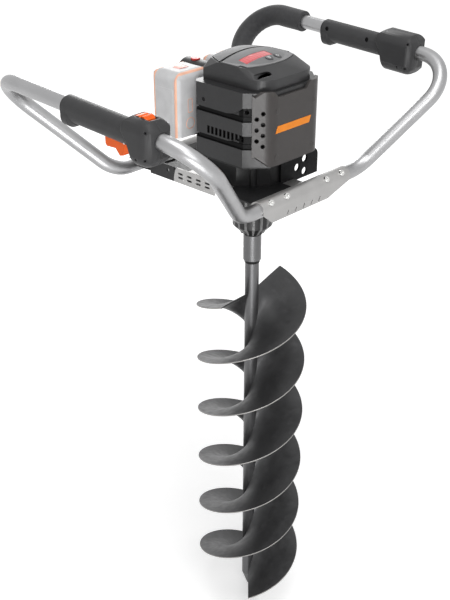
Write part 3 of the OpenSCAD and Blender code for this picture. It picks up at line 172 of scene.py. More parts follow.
class Surface:
    """A material with a principled shader, and the node chains that the finishes share."""

    def __init__(self, name, rough, metal=0.0):
        self.material = bpy.data.materials.new(name)
        self.material.use_nodes = True
        self.tree = self.material.node_tree
        self.shader = self.tree.nodes["Principled BSDF"]
        self.shader.inputs["Roughness"].default_value = rough
        self.shader.inputs["Metallic"].default_value = metal
        self.place = self.node("ShaderNodeTexCoord").outputs["Object"]
        self.normal = None

    def node(self, kind, **values):
        made = self.tree.nodes.new(kind)
        for key, value in values.items():
            setattr(made, key, value)
        return made

    def link(self, source, target):
        self.tree.links.new(source, target)

    def noise(self, scale, detail=3.0, stretch=None):
        """Noise over the part's own coordinates; stretch gives three factors of the scale."""
        place = self.place
        if stretch:
            mapping = self.node("ShaderNodeMapping")
            mapping.inputs["Scale"].default_value = stretch
            self.link(place, mapping.inputs["Vector"])
            place = mapping.outputs["Vector"]
        texture = self.node("ShaderNodeTexNoise")
        texture.inputs["Scale"].default_value = scale
        texture.inputs["Detail"].default_value = detail
        self.link(place, texture.inputs["Vector"])
        return texture.outputs["Fac"]

    def ranged(self, value, low, high, to_low, to_high):
        """Value mapped from one range to another, and clamped."""
        mapped = self.node("ShaderNodeMapRange")
        limits = {"From Min": low, "From Max": high, "To Min": to_low, "To Max": to_high}
        for key, number in limits.items():
            mapped.inputs[key].default_value = number
        self.link(value, mapped.inputs["Value"])
        return mapped.outputs["Result"]

    def along(self, axis):
        """One of the part's own coordinates, in metres."""
        split = self.node("ShaderNodeSeparateXYZ")
        self.link(self.place, split.inputs[0])
        return split.outputs[axis]

    def math(self, operation, first, second=0.0):
        made = self.node("ShaderNodeMath", operation=operation)
        for socket, value in zip(made.inputs, (first, second)):
            if isinstance(value, (int, float)):
                socket.default_value = value
            else:
                self.link(value, socket)
        return made.outputs[0]

    def both(self, first, second):
        """Mask of where two masks overlap."""
        return self.math("MULTIPLY", first, second)

    def either(self, first, second):
        """Mask of where at least one of two masks is."""
        return self.math("MAXIMUM", first, second)

    def within(self, value, low, high, soft=0.4):
        """Mask of where a value in metres lies between two limits in millimetres."""
        rise = self.ranged(value, (low - soft) * MM, low * MM, 0, 1)
        fall = self.ranged(value, high * MM, (high + soft) * MM, 1, 0)
        return self.both(rise, fall)

    def distance(self, first, second):
        """Length of a step whose two parts stand square to each other."""
        square = self.math("ADD", self.math("MULTIPLY", first, first), self.math("MULTIPLY", second, second))
        return self.math("SQRT", square)

    def mix(self, factor, first, second):
        made = self.node("ShaderNodeMix", data_type="RGBA")
        self.link(factor, made.inputs["Factor"])
        for key, value in (("A", first), ("B", second)):
            socket = next(s for s in made.inputs if s.name == key and s.type == "RGBA")
            if isinstance(value, tuple):
                socket.default_value = value
            else:
                self.link(value, socket)
        return next(s for s in made.outputs if s.type == "RGBA")

    def colour(self, value):
        self.link(value, self.shader.inputs["Base Color"])

    def mottled(self, colour, depth, scale):
        """Colour that varies a little over the surface."""
        patches = self.ranged(self.noise(scale), *NOISE_SPAN, 0, 1)
        return self.mix(patches, shade(colour, 1 - depth), shade(colour, 1 + depth))

    def roughness(self, low, high, scale, stretch=None):
        """Roughness that varies over the surface between two values."""
        patches = self.ranged(self.noise(scale, 4, stretch), *NOISE_SPAN, low, high)
        self.link(patches, self.shader.inputs["Roughness"])

    def bevelled(self, radius):
        """Normal whose edges are rounded to this radius, in millimetres."""
        bevel = self.node("ShaderNodeBevel", samples=4)
        bevel.inputs["Radius"].default_value = radius * MM
        return bevel.outputs["Normal"]

    def rounded(self, radius):
        """Edges catch the light as if they were rounded to this radius, in millimetres."""
        self.normal = self.bevelled(radius)
        self.link(self.normal, self.shader.inputs["Normal"])

    def edges(self, radius):
        """Mask of the edges: 0 on flat faces, 1 along a sharp edge."""
        facing = self.node("ShaderNodeVectorMath", operation="DOT_PRODUCT")
        self.link(self.bevelled(radius), facing.inputs[0])
        self.link(self.node("ShaderNodeNewGeometry").outputs["Normal"], facing.inputs[1])
        return self.ranged(facing.outputs["Value"], *EDGE_SPAN, 0, 1)

    def bump(self, height, depth):
        """Bump of this depth in millimetres, on top of what the normal already has."""
        bump = self.node("ShaderNodeBump")
        bump.inputs["Strength"].default_value = 1.0
        bump.inputs["Distance"].default_value = depth * MM
        self.link(height, bump.inputs["Height"])
        if self.normal:
            self.link(self.normal, bump.inputs["Normal"])
        self.normal = bump.outputs["Normal"]
        self.link(self.normal, self.shader.inputs["Normal"])


# how much lighter rubbed edges are, how much darker the painted shade in recesses is, and the gloss left
# under that painted shade
RUBBED = 2.2
PAINTED_SHADE = 0.25
PAINTED_SHADE_SHINE = 0.05


def moulded(
    name, colour, rough, grain=0.02, grain_scale=1500, wear=0.35, edge=0.8,
    shade_mask=None, soft=None, shine=0.3,
):
    """Moulded plastic: fine grain, faint mottling, edges rubbed lighter, and shade painted darker and less
    glossy where a mask is given.

    Edge is the width of the rubbed edges in millimetres, and soft their rounding where it differs.
    """
    made = Surface(name, rough)
    patches = made.ranged(made.noise(scale=220), 0.35, 0.65, 0.2 * wear, wear)
    rubbed = made.both(made.edges(edge), patches)
    tinted = made.mix(rubbed, made.mottled(colour, depth=0.06, scale=60), shade(colour, RUBBED))
    gloss = made.shader.inputs["Specular IOR Level"]
    gloss.default_value = shine
    # painted shade: where the mask is, the colour is darkened and the gloss cut, standing in for shade in
    # recesses
    if shade_mask:
        shaded_area = shade_mask(made)
        tinted = made.mix(shaded_area, tinted, shade(colour, PAINTED_SHADE))
        made.link(made.ranged(shaded_area, 0, 1, shine, PAINTED_SHADE_SHINE), gloss)
    made.colour(tinted)
    made.roughness(rough - 0.02, rough + 0.03, scale=300)
    made.rounded(soft or edge)
    made.bump(made.noise(grain_scale, detail=2), depth=grain)
    return made.material


def body_painted_shade(made):
    """Mask of painted shade in the body's grooves and corner pockets, as dark lips round its vents, and on
    its skin behind the cover's holes.
    """
    height = made.along("Z")
    rearward = made.along("Y")
    across = made.math("ABSOLUTE", made.along("X"))
    run = FACET.normalized()
    out = made.math("SUBTRACT", made.math("MULTIPLY", across, run.y), made.math("MULTIPLY", rearward, run.x))
    skin = BODY_HALF * run.y + FACET_BACK * run.x

    # painted shade as dark lips round each vent slot
    from_vent = made.math("PINGPONG", made.math("SUBTRACT", rearward, VENTS[1] * MM), VENT_PITCH / 2 * MM)
    vent = made.both(made.within(from_vent, 0, VENT_LIP), made.within(out, 0, skin - VENT_SKIN))
    row = made.within(rearward, VENTS[0] - VENT_LIP, VENTS[1] + VENT_LIP)
    band = made.within(height, BODY_Z + VENT_BAND[0], BODY_Z + VENT_BAND[1])
    vents = made.both(made.both(vent, row), band)

    # painted shade on the body's skin seen through the cover's holes
    facet = made.within(out, skin - BEHIND_REACH, skin + BEHIND_REACH)
    covered = made.both(facet, made.within(across, 0, COVER_EDGE - BEHIND_ROOM))
    holes = made.within(height, BODY_Z + BEHIND_HOLES[0], BODY_Z + BEHIND_HOLES[1])
    mask = made.either(vents, made.both(covered, holes))

    # painted shade in the grooves and in the facets' pockets
    deep = made.within(out, skin - POCKET_DEPTHS[1], skin - POCKET_DEPTHS[0])
    shaded_area = made.both(deep, made.within(across, 0, BODY_HALF - SIDE_SKIN))
    for low in GROOVES:
        top = BODY_Z + low + GROOVE_W
        groove = made.within(height, BODY_Z + low, top)
        pocket = made.both(made.within(height, top, top + POCKET_H), shaded_area)
        mask = made.either(mask, made.either(groove, pocket))
    return mask


def cover_rim_shade(made):
    """Mask of the painted shade on the rims round the two columns of holes in each of the cover's facets."""
    run = FACET.normalized()
    across = made.math("MULTIPLY", made.math("ABSOLUTE", made.along("X")), run.x)
    along = made.math("ADD", across, made.math("MULTIPLY", made.along("Y"), run.y))
    fold = COVER_FOLD[0] * run.x - COVER_FOLD[1] * run.y
    mask = 0.0
    for share, row, count in HOLE_COLUMNS:
        first = BODY_Z + HOLE_FIRST + row * HOLE_PITCH
        last = first + 2 * HOLE_PITCH * (count - 1)
        beside = made.math("SUBTRACT", along, (fold + share * FACET.length) * MM)
        up = made.math("PINGPONG", made.math("SUBTRACT", made.along("Z"), first * MM), HOLE_PITCH * MM)
        rim = made.within(made.distance(beside, up), 0, HOLE_RIM_R)
        rows = made.within(made.along("Z"), first - HOLE_RIM_R, last + HOLE_RIM_R)
        mask = made.either(made.both(rim, rows), mask)
    return mask


def grip_hole_shade(made):
    """Mask of painted shade on what lies deeper than a grip's skin: its screw holes and the inner rim of its
    ends.
    """
    across = made.math("SUBTRACT", made.math("ABSOLUTE", made.along("X")), HANDLE_HALF * MM)
    line = made.math("MULTIPLY", made.along("Y"), math.tan(HANDLE_TILT))
    up = made.math("SUBTRACT", made.math("SUBTRACT", made.along("Z"), HANDLE_Z * MM), line)
    return made.within(made.distance(across, up), 0, GRIP_R - GRIP_SKIN)


def panel_seam_shade(made):
    """Mask of the painted shade in the seam across the panel."""
    return made.within(made.along("Y"), *PANEL_SEAM)


def satin_metal(name, colour, rough, metal=1.0, streak=(1, 1, 1), marked=0.25, edge=0.6):
    """Metal with a fine satin finish and faint handling marks; edge 0 leaves a smooth tube as it is."""
    made = Surface(name, rough, metal)
    marks = made.ranged(made.noise(900, detail=4, stretch=streak), 0.62, 0.74, 0, marked)
    made.colour(made.mix(marks, made.mottled(colour, depth=0.05, scale=25), shade(colour, 0.72)))
    made.roughness(rough - 0.04, rough + 0.04, scale=60, stretch=streak)
    if edge:
        made.rounded(edge)
        made.bump(made.noise(1800, detail=2, stretch=streak), depth=0.003)
    return made.material


# tone of the highlight painted on the ribs of the nose
RIB_HIGHLIGHT = srgb(128, 128, 128)


def nose_rib_highlights(made):
    """Mask of the ribs round the gearbox nose, where a highlight is painted."""
    turn = made.math("ARCTAN2", made.along("Y"), made.along("X"))
    beside = made.math("MULTIPLY", made.math("PINGPONG", turn, math.pi / NOSE_RIBS), NOSE_R * MM)
    return made.within(beside, 0, NOSE_RIB_W / 2)


def cast_metal(name, colour, rough, shine=0.4, highlight_mask=None):
    """Black painted casting with a slightly pebbled skin, rubbed lighter on its edges, with a painted
    highlight on its ribs where a mask is given.
    """
    made = Surface(name, rough)
    worn = made.both(made.edges(1.0), made.ranged(made.noise(160), 0.4, 0.7, 0, 0.5))
    skin = made.mix(worn, made.mottled(colour, depth=0.12, scale=70), shade(colour, 3.2))
    # painted highlight on the masked ribs
    made.colour(made.mix(highlight_mask(made), skin, RIB_HIGHLIGHT) if highlight_mask else skin)
    made.roughness(rough - 0.06, rough + 0.1, scale=220)
    made.shader.inputs["Specular IOR Level"].default_value = shine
    made.rounded(1.5)
    made.bump(made.noise(900, detail=3), depth=0.05)
    return made.material


# bit steel: skin, bare rim, how far in from the edge the rim starts and is full, and how ragged it is
BIT_TONE = srgb(72, 72, 73)
BARE_TONE = srgb(176, 174, 171)
BARE_RIM = (0.7, 0.3)
BARE_RAGGED = 0.4


def bit_steel(name):
    """Painted bit steel: gunmetal skin, rubbed patches, bright worn rim."""
    made = Surface(name, 0.42, metal=0.55)
    rubbed = made.ranged(made.noise(55, detail=6, stretch=(1, 1, 0.4)), 0.56, 0.74, 0, 0.35)
    base = made.mix(rubbed, made.mottled(BIT_TONE, depth=0.14, scale=22), shade(BIT_TONE, 1.7))
    away = made.distance(made.along("X"), made.along("Y"))
    shift = made.ranged(made.noise(400, detail=4), 0, 1, -BARE_RAGGED * MM, BARE_RAGGED * MM)
    fade, full = [(FLIGHT_R - inset) * MM for inset in BARE_RIM]
    rim = made.ranged(made.math("ADD", away, shift), fade, full, 0, 0.7)
    made.colour(made.mix(rim, base, BARE_TONE))
    made.roughness(0.36, 0.52, scale=90)
    made.bump(made.noise(700, detail=4), depth=0.04)
    return made.material


def foam_rubber(name):
    """Closed-cell foam: matt skin with fine cells."""
    made = Surface(name, 0.8)
    cells = made.node("ShaderNodeTexVoronoi")
    cells.inputs["Scale"].default_value = 700
    made.link(made.place, cells.inputs["Vector"])
    made.colour(made.mottled(srgb(47, 47, 49), depth=0.12, scale=45))
    made.roughness(0.66, 0.82, scale=200)
    made.bump(cells.outputs["Distance"], depth=0.12)
    made.shader.inputs["Sheen Weight"].default_value = 0.25
    made.shader.inputs["Sheen Roughness"].default_value = 0.5
    return made.material


def glossy_red(name):
    """Display window: tinted glossy plastic over a row of unlit cells."""
    made = Surface(name, 0.16)
    field = made.mottled(srgb(206, 58, 64), depth=0.08, scale=120)
    step = made.math("PINGPONG", made.along("X"), DISPLAY_CELL / 2 * MM)
    band = made.within(made.along("Y"), DISPLAY_Y - DISPLAY_BAND / 2, DISPLAY_Y + DISPLAY_BAND / 2)
    cells = made.both(made.within(step, DISPLAY_BAR, DISPLAY_CELL), band)
    made.colour(made.mix(made.math("MULTIPLY", cells, 0.6), field, srgb(236, 96, 100)))
    made.roughness(0.1, 0.2, scale=200)
    made.rounded(0.4)
    made.shader.inputs["Coat Weight"].default_value = 0.5
    made.shader.inputs["Coat Roughness"].default_value = 0.08
    return made.material


FINISH = {
    "tube": satin_metal("tube_satin", srgb(166, 166, 167), 0.38, marked=0.05, edge=0),
    "sheet": satin_metal(
        "sheet_metal", srgb(174, 173, 172), 0.44, metal=0.8, streak=(1, 8, 8), marked=0.12,
    ),
    "screw": satin_metal("screw_zinc", srgb(214, 214, 212), 0.26),
    "steel": satin_metal("machined_steel", srgb(150, 151, 153), 0.3),
    "shaft": satin_metal(
        "shaft_steel", srgb(104, 104, 105), 0.36, metal=0.85, streak=(6, 6, 1), marked=0.12,
    ),
    "can": satin_metal("motor_can_steel", srgb(120, 121, 123), 0.4, metal=0.9),
    "copper": satin_metal("stator_copper", srgb(176, 110, 64), 0.42, metal=0.8),
    "cast": cast_metal("black_casting", srgb(21, 21, 22), 0.42),
    "nose": cast_metal("nose_casting", srgb(21, 21, 22), 0.36, highlight_mask=nose_rib_highlights),
    "strip": cast_metal("black_strip", srgb(26, 26, 27), 0.46),
    "plate": cast_metal("black_plate", srgb(20, 20, 21), 0.5, shine=0.12),
    "body": moulded("body_plastic", srgb(46, 46, 47), 0.33, shade_mask=body_painted_shade),
    "lid": moulded("lid_plastic", srgb(55, 55, 56), 0.36, soft=2.0),
    "cover": moulded("cover_plastic", srgb(61, 58, 57), 0.34, shade_mask=cover_rim_shade),
    "panel": moulded("panel_plastic", srgb(122, 122, 123), 0.55, shade_mask=panel_seam_shade, shine=0.2),
    "grip": moulded(
        "grip_rubber", srgb(55, 55, 56), 0.5,
        grain=0.03, grain_scale=1100, wear=0.2, soft=2.0, shade_mask=grip_hole_shade,
    ),
    "housing": moulded("housing_plastic", srgb(52, 52, 53), 0.44, soft=3.0),
    "tower": moulded("tower_plastic", srgb(34, 34, 35), 0.4),
    "battery": moulded("battery_plastic", srgb(206, 206, 207), 0.45, wear=0.1),
    "release": moulded("release_plastic", srgb(238, 178, 168), 0.4, wear=0.1),
    "trim": moulded("trim_plastic", srgb(246, 190, 163), 0.42, wear=0.1),
    "orange": moulded("orange_plastic", srgb(255, 104, 24), 0.36, wear=0.08),
    "badge": moulded("badge_plate", srgb(240, 138, 26), 0.3, grain=0.005, wear=0.1, edge=0.3),
    "key": moulded("red_plastic", srgb(222, 64, 60), 0.34, wear=0.1),
    "button": moulded("button_plastic", srgb(84, 84, 86), 0.45),
    "board": moulded("board_laminate", srgb(15, 26, 20), 0.4),
    "display": glossy_red("display_window"),
    "bit": bit_steel("bit_steel"),
    "foam": foam_rubber("foam_rubber"),
    "mark": moulded("mark_print", srgb(232, 232, 232), 0.5, grain=0.004, wear=0.0, edge=0.2),
    "label": moulded("label_film", srgb(206, 206, 207), 0.32, grain=0.004, wear=0.05, edge=0.2),
    "rubber": moulded("ring_rubber", srgb(18, 18, 18), 0.6, wear=0.1),
}

NODE_FINISH = {
    "tube": ["front_handlebar", "rear_handlebar", "joiner_sleeves"],
    "sheet": ["front_saddle", "rear_saddle", "base_tray"],
    "screw": ["front_saddle_screws", "rear_saddle_screws", "trigger_pin", "coupling_pin"],
    "steel": [
        "output_spindle", "output_gear", "layshaft", "layshaft_gear", "layshaft_pinion", "motor_pinion",
        "rotor", "motor_bearings", "layshaft_bearings", "spindle_bearings", "housing_screws",
    ],
    "shaft": ["bit_shaft"],
    "can": ["motor_can"],
    "copper": ["motor_stator"],
    "cast": ["gear_case", "motor_plate"],
    "nose": ["gearbox_nose"],
    "plate": ["cross_plate"],
    "strip": ["front_clamp", "rear_clamp", "rear_bracket"],
    "body": ["motor_housing"],
    "lid": ["top_lid"],
    "cover": ["front_cover", "cover_screws"],
    "panel": ["control_panel"],
    "grip": ["left_grip", "right_grip", "shaft_seal"],
    "housing": [
        "left_housing_outer", "left_housing_inner", "right_housing_outer", "right_housing_inner",
    ],
    "tower": ["battery_tower", "trigger_switch", "cooling_fan"],
    "battery": ["left_battery", "right_battery"],
    "release": ["left_battery_button", "right_battery_button"],
    "orange": ["trigger", "lock_slider"],
    "key": ["safety_key"],
    "button": ["mode_button", "power_button"],
    "board": ["control_board"],
    "display": ["display_lens"],
    "bit": ["flight_a", "flight_b"],
    "foam": ["foam_sleeve"],
}

for finish, names in NODE_FINISH.items():
    for name in names:
        mesh = nodes[name].data
        mesh.materials.clear()
        mesh.materials.append(FINISH[finish])


def piece(name, mesh, finish, body):
    """Object of a finished mesh in the part's frame, riding on a body."""
    made = bpy.data.objects.new(name, mesh)
    bpy.context.scene.collection.objects.link(made)
    mesh.materials.append(FINISH[finish])
    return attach(made, body)


def mesh_of(name, points, faces, sharp=40):
    """Mesh from points in millimetres, smooth up to the given angle."""
    mesh = bpy.data.meshes.new(name)
    mesh.from_pydata([Vector(p) * MM for p in points], [], faces)
    work = bmesh.new()
    work.from_mesh(mesh)
    bmesh.ops.recalc_face_normals(work, faces=work.faces)
    work.to_mesh(mesh)
    work.free()
    mesh.shade_smooth()
    mesh.set_sharp_from_angle(angle=math.radians(sharp))
    return mesh


def swept(rings, closed_path=False):
    """Points and faces of closed rings joined in a row, with flat ends unless the path is closed."""
    count = len(rings[0])
    points = [p for ring in rings for p in ring]
    faces = []
    spans = len(rings) if closed_path else len(rings) - 1
    for i in range(spans):
        a, b = i * count, (i + 1) % len(rings) * count
        for k in range(count):
            n = (k + 1) % count
            faces.append((a + k, a + n, b + n, b + k))
    if not closed_path:
        faces.append(tuple(range(count)))
        faces.append(tuple(range(len(points) - count, len(points))))
    return points, faces


# flights: the plates of the bit, finer than the solids, with a weld fillet at the shaft and a rounded rim
FLIGHT_STEPS = 300
FLIGHT_RADIAL = 12
FLIGHT_CROWD = 1.6
FLIGHT_ROOT = 0.3
FILLET_W = 6
FILLET_H = 3.5
FILLET_CURVE = 2.2
RIM_TAPER = 30
RIM_THIN = 0.8
RIM_ROUND = 0.6
RIM_SEGMENTS = 4


def flight_section():
    """Closed section of a flight plate as (radius, height) points, crowded towards the shaft."""
    inner = SHAFT_R - FLIGHT_ROOT
    outer = FLIGHT_R - RIM_ROUND
    shares = [(i / FLIGHT_RADIAL) ** FLIGHT_CROWD for i in range(FLIGHT_RADIAL + 1)]
    radii = [inner + (outer - inner) * share for share in shares]

    def middle(radius):
        return FLIGHT_T / 2 - FLIGHT_DISH * (FLIGHT_R - radius) / (FLIGHT_R - SHAFT_R)

    def half(radius):
        fillet = FILLET_H * max(0.0, 1 - (radius - SHAFT_R) / FILLET_W) ** FILLET_CURVE
        thin = RIM_THIN * max(0.0, 1 - (FLIGHT_R - radius) / RIM_TAPER)
        return FLIGHT_T / 2 + fillet - thin

    low = [(r, middle(r) - half(r)) for r in radii]
    high = [(r, middle(r) + half(r)) for r in reversed(radii)]
    rim = []
    for k in range(1, RIM_SEGMENTS):
        a = math.pi * (k / RIM_SEGMENTS - 0.5)
        rim.append((outer + RIM_ROUND * math.cos(a), middle(outer) + half(outer) * math.sin(a)))
    return low + rim + high


def flight_mesh(name, turn):
    """A flight's section swept up the shaft as a helix, from a start angle in degrees."""
    section = flight_section()
    sweep = math.radians(360 * FLIGHT_LEN / FLIGHT_LEAD)
    rings = []
    for i in range(FLIGHT_STEPS + 1):
        share = i / FLIGHT_STEPS
        a = math.radians(turn) + sweep * share
        z = FLIGHT_LOW + FLIGHT_LEN * share
        rings.append([(r * math.cos(a), r * math.sin(a), z + h) for r, h in section])
    return mesh_of(name, *swept(rings), sharp=35)


for letter, turn in (("a", FLIGHT_START), ("b", FLIGHT_START + 180)):
    flight = piece(f"flight_plate_{letter}", flight_mesh(f"flight_plate_{letter}", turn), "bit", "bit")
    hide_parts(f"flight_{letter}")


# foam sleeve round the rear right bend, puckered on the inside of the bend and a little uneven all over
FOAM_RING = 44
FOAM_STEP = 3.0
FOAM_FIT = 0.2
FOAM_EDGE = 2.5
FOAM_EDGE_STEPS = 4
PUCKER_DEPTH = 0.5
PUCKER_RATE = 0.9
UNEVEN_DEPTH = 0.35
UNEVEN_RATE = 0.04
UNEVEN_ROUND = 40


def along_handle(side, y):
    """Point on a handle's axis."""
    return Vector((side * HANDLE_HALF, y * math.cos(HANDLE_TILT), HANDLE_Z + y * math.sin(HANDLE_TILT)))


def rounded_path(points, radius, step):
    """Stations along a path of three points with an arc at the middle one.

    Each has its place, direction ahead, direction to the arc's inner side, and how far it is into the bend.
    """
    a, b, c = points
    go, leave = (b - a).normalized(), (c - b).normalized()
    angle = go.angle(leave)
    reach = radius * math.tan(angle / 2)
    side = (leave - go * go.dot(leave)).normalized()
    start, end = b - go * reach, b + leave * reach
    middle = start + side * radius
    path = []
    straight = (start - a).length
    count = max(2, round(straight / step))
    path += [(a + go * straight * i / count, go, side, 0.0) for i in range(count)]
    count = max(8, round(radius * angle / step))
    for i in range(count + 1):
        t = angle * i / count
        out = -side * math.cos(t) + go * math.sin(t)
        ahead = go * math.cos(t) + side * math.sin(t)
        path.append((middle + out * radius, ahead, -out, math.sin(math.pi * i / count)))
    straight = (c - end).length
    count = max(2, round(straight / step))
    path += [(end + leave * straight * i / count, leave, path[-1][2], 0.0) for i in range(1, count + 1)]
    return path


def foam_ring(place, go, side, bend, radius, shift=0.0):
    """Points round the foam at a station, moved ahead by a shift."""
    up = go.cross(side).normalized()
    points = []
    for k in range(FOAM_RING):
        a = 2 * math.pi * k / FOAM_RING
        inner = max(0.0, math.cos(a))
        pucker = PUCKER_DEPTH * bend * inner ** 3 * math.sin(place.length * PUCKER_RATE)
        spot = Vector((place.x, place.y, place.z + UNEVEN_ROUND * math.cos(a)))
        r = radius - pucker + UNEVEN_DEPTH * noise.noise(spot * UNEVEN_RATE)
        points.append(place + go * shift + (side * math.cos(a) + up * math.sin(a)) * r)
    return points


def foam_mesh(name):
    """The sleeve from bore to bore over its rounded ends, open along the tube."""
    corner = Vector((HANDLE_HALF, CORNER_REAR, DECK + RISE_REAR))
    foot = Vector((RAIL_HALF, RAIL_REAR, DECK))
    end = corner + (foot - corner) * FOAM_SHARE
    path = rounded_path([along_handle(1, FOAM_FRONT), corner, end], CORNER_R, FOAM_STEP)
    first, last = path[0], path[-1]
    outer = FOAM_D / 2
    bore = TUBE_R + FOAM_FIT
    arc = [math.pi / 2 * k / FOAM_EDGE_STEPS for k in range(FOAM_EDGE_STEPS + 1)]
    rim = [(outer - FOAM_EDGE + FOAM_EDGE * math.sin(a), FOAM_EDGE * (1 - math.cos(a))) for a in arc]
    rings = [foam_ring(*first, bore)]
    rings += [foam_ring(*first, radius, shift) for radius, shift in rim]
    rings += [foam_ring(*station, outer) for station in path[2:-2]]
    rings += [foam_ring(*last, radius, -shift) for radius, shift in reversed(rim)]
    rings.append(foam_ring(*last, bore))
    points, faces = swept(rings)
    return mesh_of(name, points, faces[:-2], sharp=60)


foam = piece("foam_cover", foam_mesh("foam_cover"), "foam", "frame")
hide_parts("foam_sleeve")


# thin plates and frames, made flat and set on a face, with their backs just under its surface
PLATE_SUNK = 0.3
PLATE_EDGE = 0.25
FRAME_SLOPE = 0.1
CORNER_STEPS = 6
CORNER_LEAST = 0.05
ROUND_FLAT = 0.1


def rounded_outline(width, height, corner, inset=0.0, slant=0.0):
    """Points round a rounded rectangle; slant shifts its top to the right by a share of the height."""
    points = []
    radius = max(CORNER_LEAST, corner - inset)
    for cx, cy, start in ((1, 1, 0), (-1, 1, 90), (-1, -1, 180), (1, -1, 270)):
        for k in range(CORNER_STEPS + 1):
            a = math.radians(start + 90 * k / CORNER_STEPS)
            x = cx * (width / 2 - corner) + radius * math.cos(a)
            y = cy * (height / 2 - corner) + radius * math.sin(a)
            points.append((x + slant * y, y))
    return points


def raised(z, *outline):
    """Points of a rounded outline at a height over the face."""
    return [(x, y, z) for x, y in rounded_outline(*outline)]


def flat_plate(width, height, corner, thick, slant=0.0, edge=PLATE_EDGE):
    """Points and faces of a plate with a bevelled face."""
    levels = ((0.0, -PLATE_SUNK), (0.0, thick - edge), (edge, thick))
    return swept([raised(z, width, height, corner, inset, slant) for inset, z in levels])


def flat_frame(width, height, corner, line, thick):
    """Points and faces of a raised line round a rounded rectangle."""
    profile = ((0.0, -PLATE_SUNK), (FRAME_SLOPE, thick), (line - FRAME_SLOPE, thick), (line, -PLATE_SUNK))
    rings = [raised(z, width, height, corner, inset) for inset, z in profile]
    return swept([list(loop) for loop in zip(*rings)], closed_path=True)


def round_plate(diameter, thick, edge=PLATE_EDGE):
    """Points and faces of a round plate."""
    return flat_plate(diameter, diameter, diameter / 2 - ROUND_FLAT, thick, edge=edge)


def round_frame(diameter, line, thick):
    """Points and faces of a raised round line."""
    return flat_frame(diameter, diameter, diameter / 2 - ROUND_FLAT, line, thick)


def set_on(name, shape, origin, right, up, finish, body):
    """Piece made of a flat shape, at origin, with its x along right and its y along up."""
    points, faces = shape
    origin, right, up = Vector(origin), Vector(right).normalized(), Vector(up).normalized()
    out = right.cross(up)
    mesh = mesh_of(name, [origin + right * x + up * y + out * z for x, y, z in points], faces, sharp=30)
    piece(name, mesh, finish, body)


# batteries: trim ribs round the ends, a bare label, a charge gauge and its ringed button
TRIM_WIDE = 4.5
TRIM_PROUD = 0.5
TRIM_IN = 6
TRIM_ROOT = 1.5
TRIM_BEVEL = (0.3, 0.5)
SHOULDER_STEPS = 10
LABEL_W = 38
LABEL_H = 64
LABEL_CORNER = 3
LABEL_T = 0.3
LABEL_UP = 50
GAUGE_W = 11
GAUGE_H = 24
GAUGE_CORNER = 3
GAUGE_LINE = 1.2
GAUGE_T = 0.35
GAUGE_LEFT = 10
GAUGE_UP = 52
PRESS_D = 17
PRESS_T = 0.5
PRESS_RING_D = 20
PRESS_LINE = 1.3
PRESS_RING_T = 0.45
PRESS_UP = 22


def rounding(radius, depth):
    """How far a rounded edge falls back at this depth from the end face."""
    return radius - math.sqrt(max(0.0, radius ** 2 - max(0.0, radius - depth) ** 2))


def battery_outline(depth, grow):
    """Outline of a battery at a depth from its end face, over the shoulders, as (x, z) points."""
    half = BATTERY_W / 2 - rounding(BATTERY_CORNER, depth)
    top = BATTERY_H - rounding(BATTERY_END_R, depth)
    middle = BATTERY_W / 2 - BATTERY_SHOULDER
    points = [(-half - grow, BATTERY_FOOT)]
    for side, start in ((-1, 180), (1, 90)):
        for k in range(SHOULDER_STEPS + 1):
            a = math.radians(start - 90 * k / SHOULDER_STEPS)
            x = min(half, middle + BATTERY_SHOULDER * abs(math.cos(a)))
            z = min(top, BATTERY_H - BATTERY_SHOULDER + BATTERY_SHOULDER * math.sin(a))
            points.append((side * x + grow * math.cos(a), z + grow * math.sin(a)))
    points.append((half + grow, BATTERY_FOOT))
    return points


def trim_rib(name, side, end):
    """Rib of trim that runs up one side of an end face, over the top and down the other side."""
    face, inward = (BATTERY_FRONT, 1) if end == "front" else (BATTERY_FRONT + BATTERY_L, -1)
    half = TRIM_WIDE / 2
    rise = [(-TRIM_ROOT, -half), (TRIM_PROUD - TRIM_BEVEL[0], -half), (TRIM_PROUD, TRIM_BEVEL[1] - half)]
    profile = rise + [(grow, -shift) for grow, shift in reversed(rise)]
    centre = side * BATTERY_PITCH / 2
    rings = []
    for grow, shift in profile:
        depth = TRIM_IN + shift
        outline = battery_outline(depth, grow)
        rings.append([(centre + x, face + inward * depth, BATTERY_Z + z) for x, z in outline])
    return mesh_of(name, *swept([list(loop) for loop in zip(*rings)]), sharp=50)


for side, word in ((-1, "left"), (1, "right")):
    body = f"battery_{word}"
    centre = side * BATTERY_PITCH / 2
    gauge = (centre - GAUGE_LEFT, BATTERY_FRONT, BATTERY_Z + GAUGE_UP)
    press = (centre - GAUGE_LEFT, BATTERY_FRONT, BATTERY_Z + PRESS_UP)
    for end in ("front", "rear"):
        name = f"{word}_battery_trim_{end}"
        piece(name, trim_rib(name, side, end), "trim", body)
    set_on(
        f"{word}_battery_label", flat_plate(LABEL_W, LABEL_H, LABEL_CORNER, LABEL_T),
        (centre + side * BATTERY_W / 2, BATTERY_FRONT + BATTERY_L / 2, BATTERY_Z + LABEL_UP),
        (0, side, 0), UP, "label", body,
    )
    set_on(
        f"{word}_battery_gauge", flat_frame(GAUGE_W, GAUGE_H, GAUGE_CORNER, GAUGE_LINE, GAUGE_T),
        gauge, RIGHT, UP, "trim", body,
    )
    set_on(
        f"{word}_battery_gauge_button", round_plate(PRESS_D, PRESS_T),
        press, RIGHT, UP, "label", body,
    )
    set_on(
        f"{word}_battery_gauge_ring", round_frame(PRESS_RING_D, PRESS_LINE, PRESS_RING_T),
        press, RIGHT, UP, "trim", body,
    )


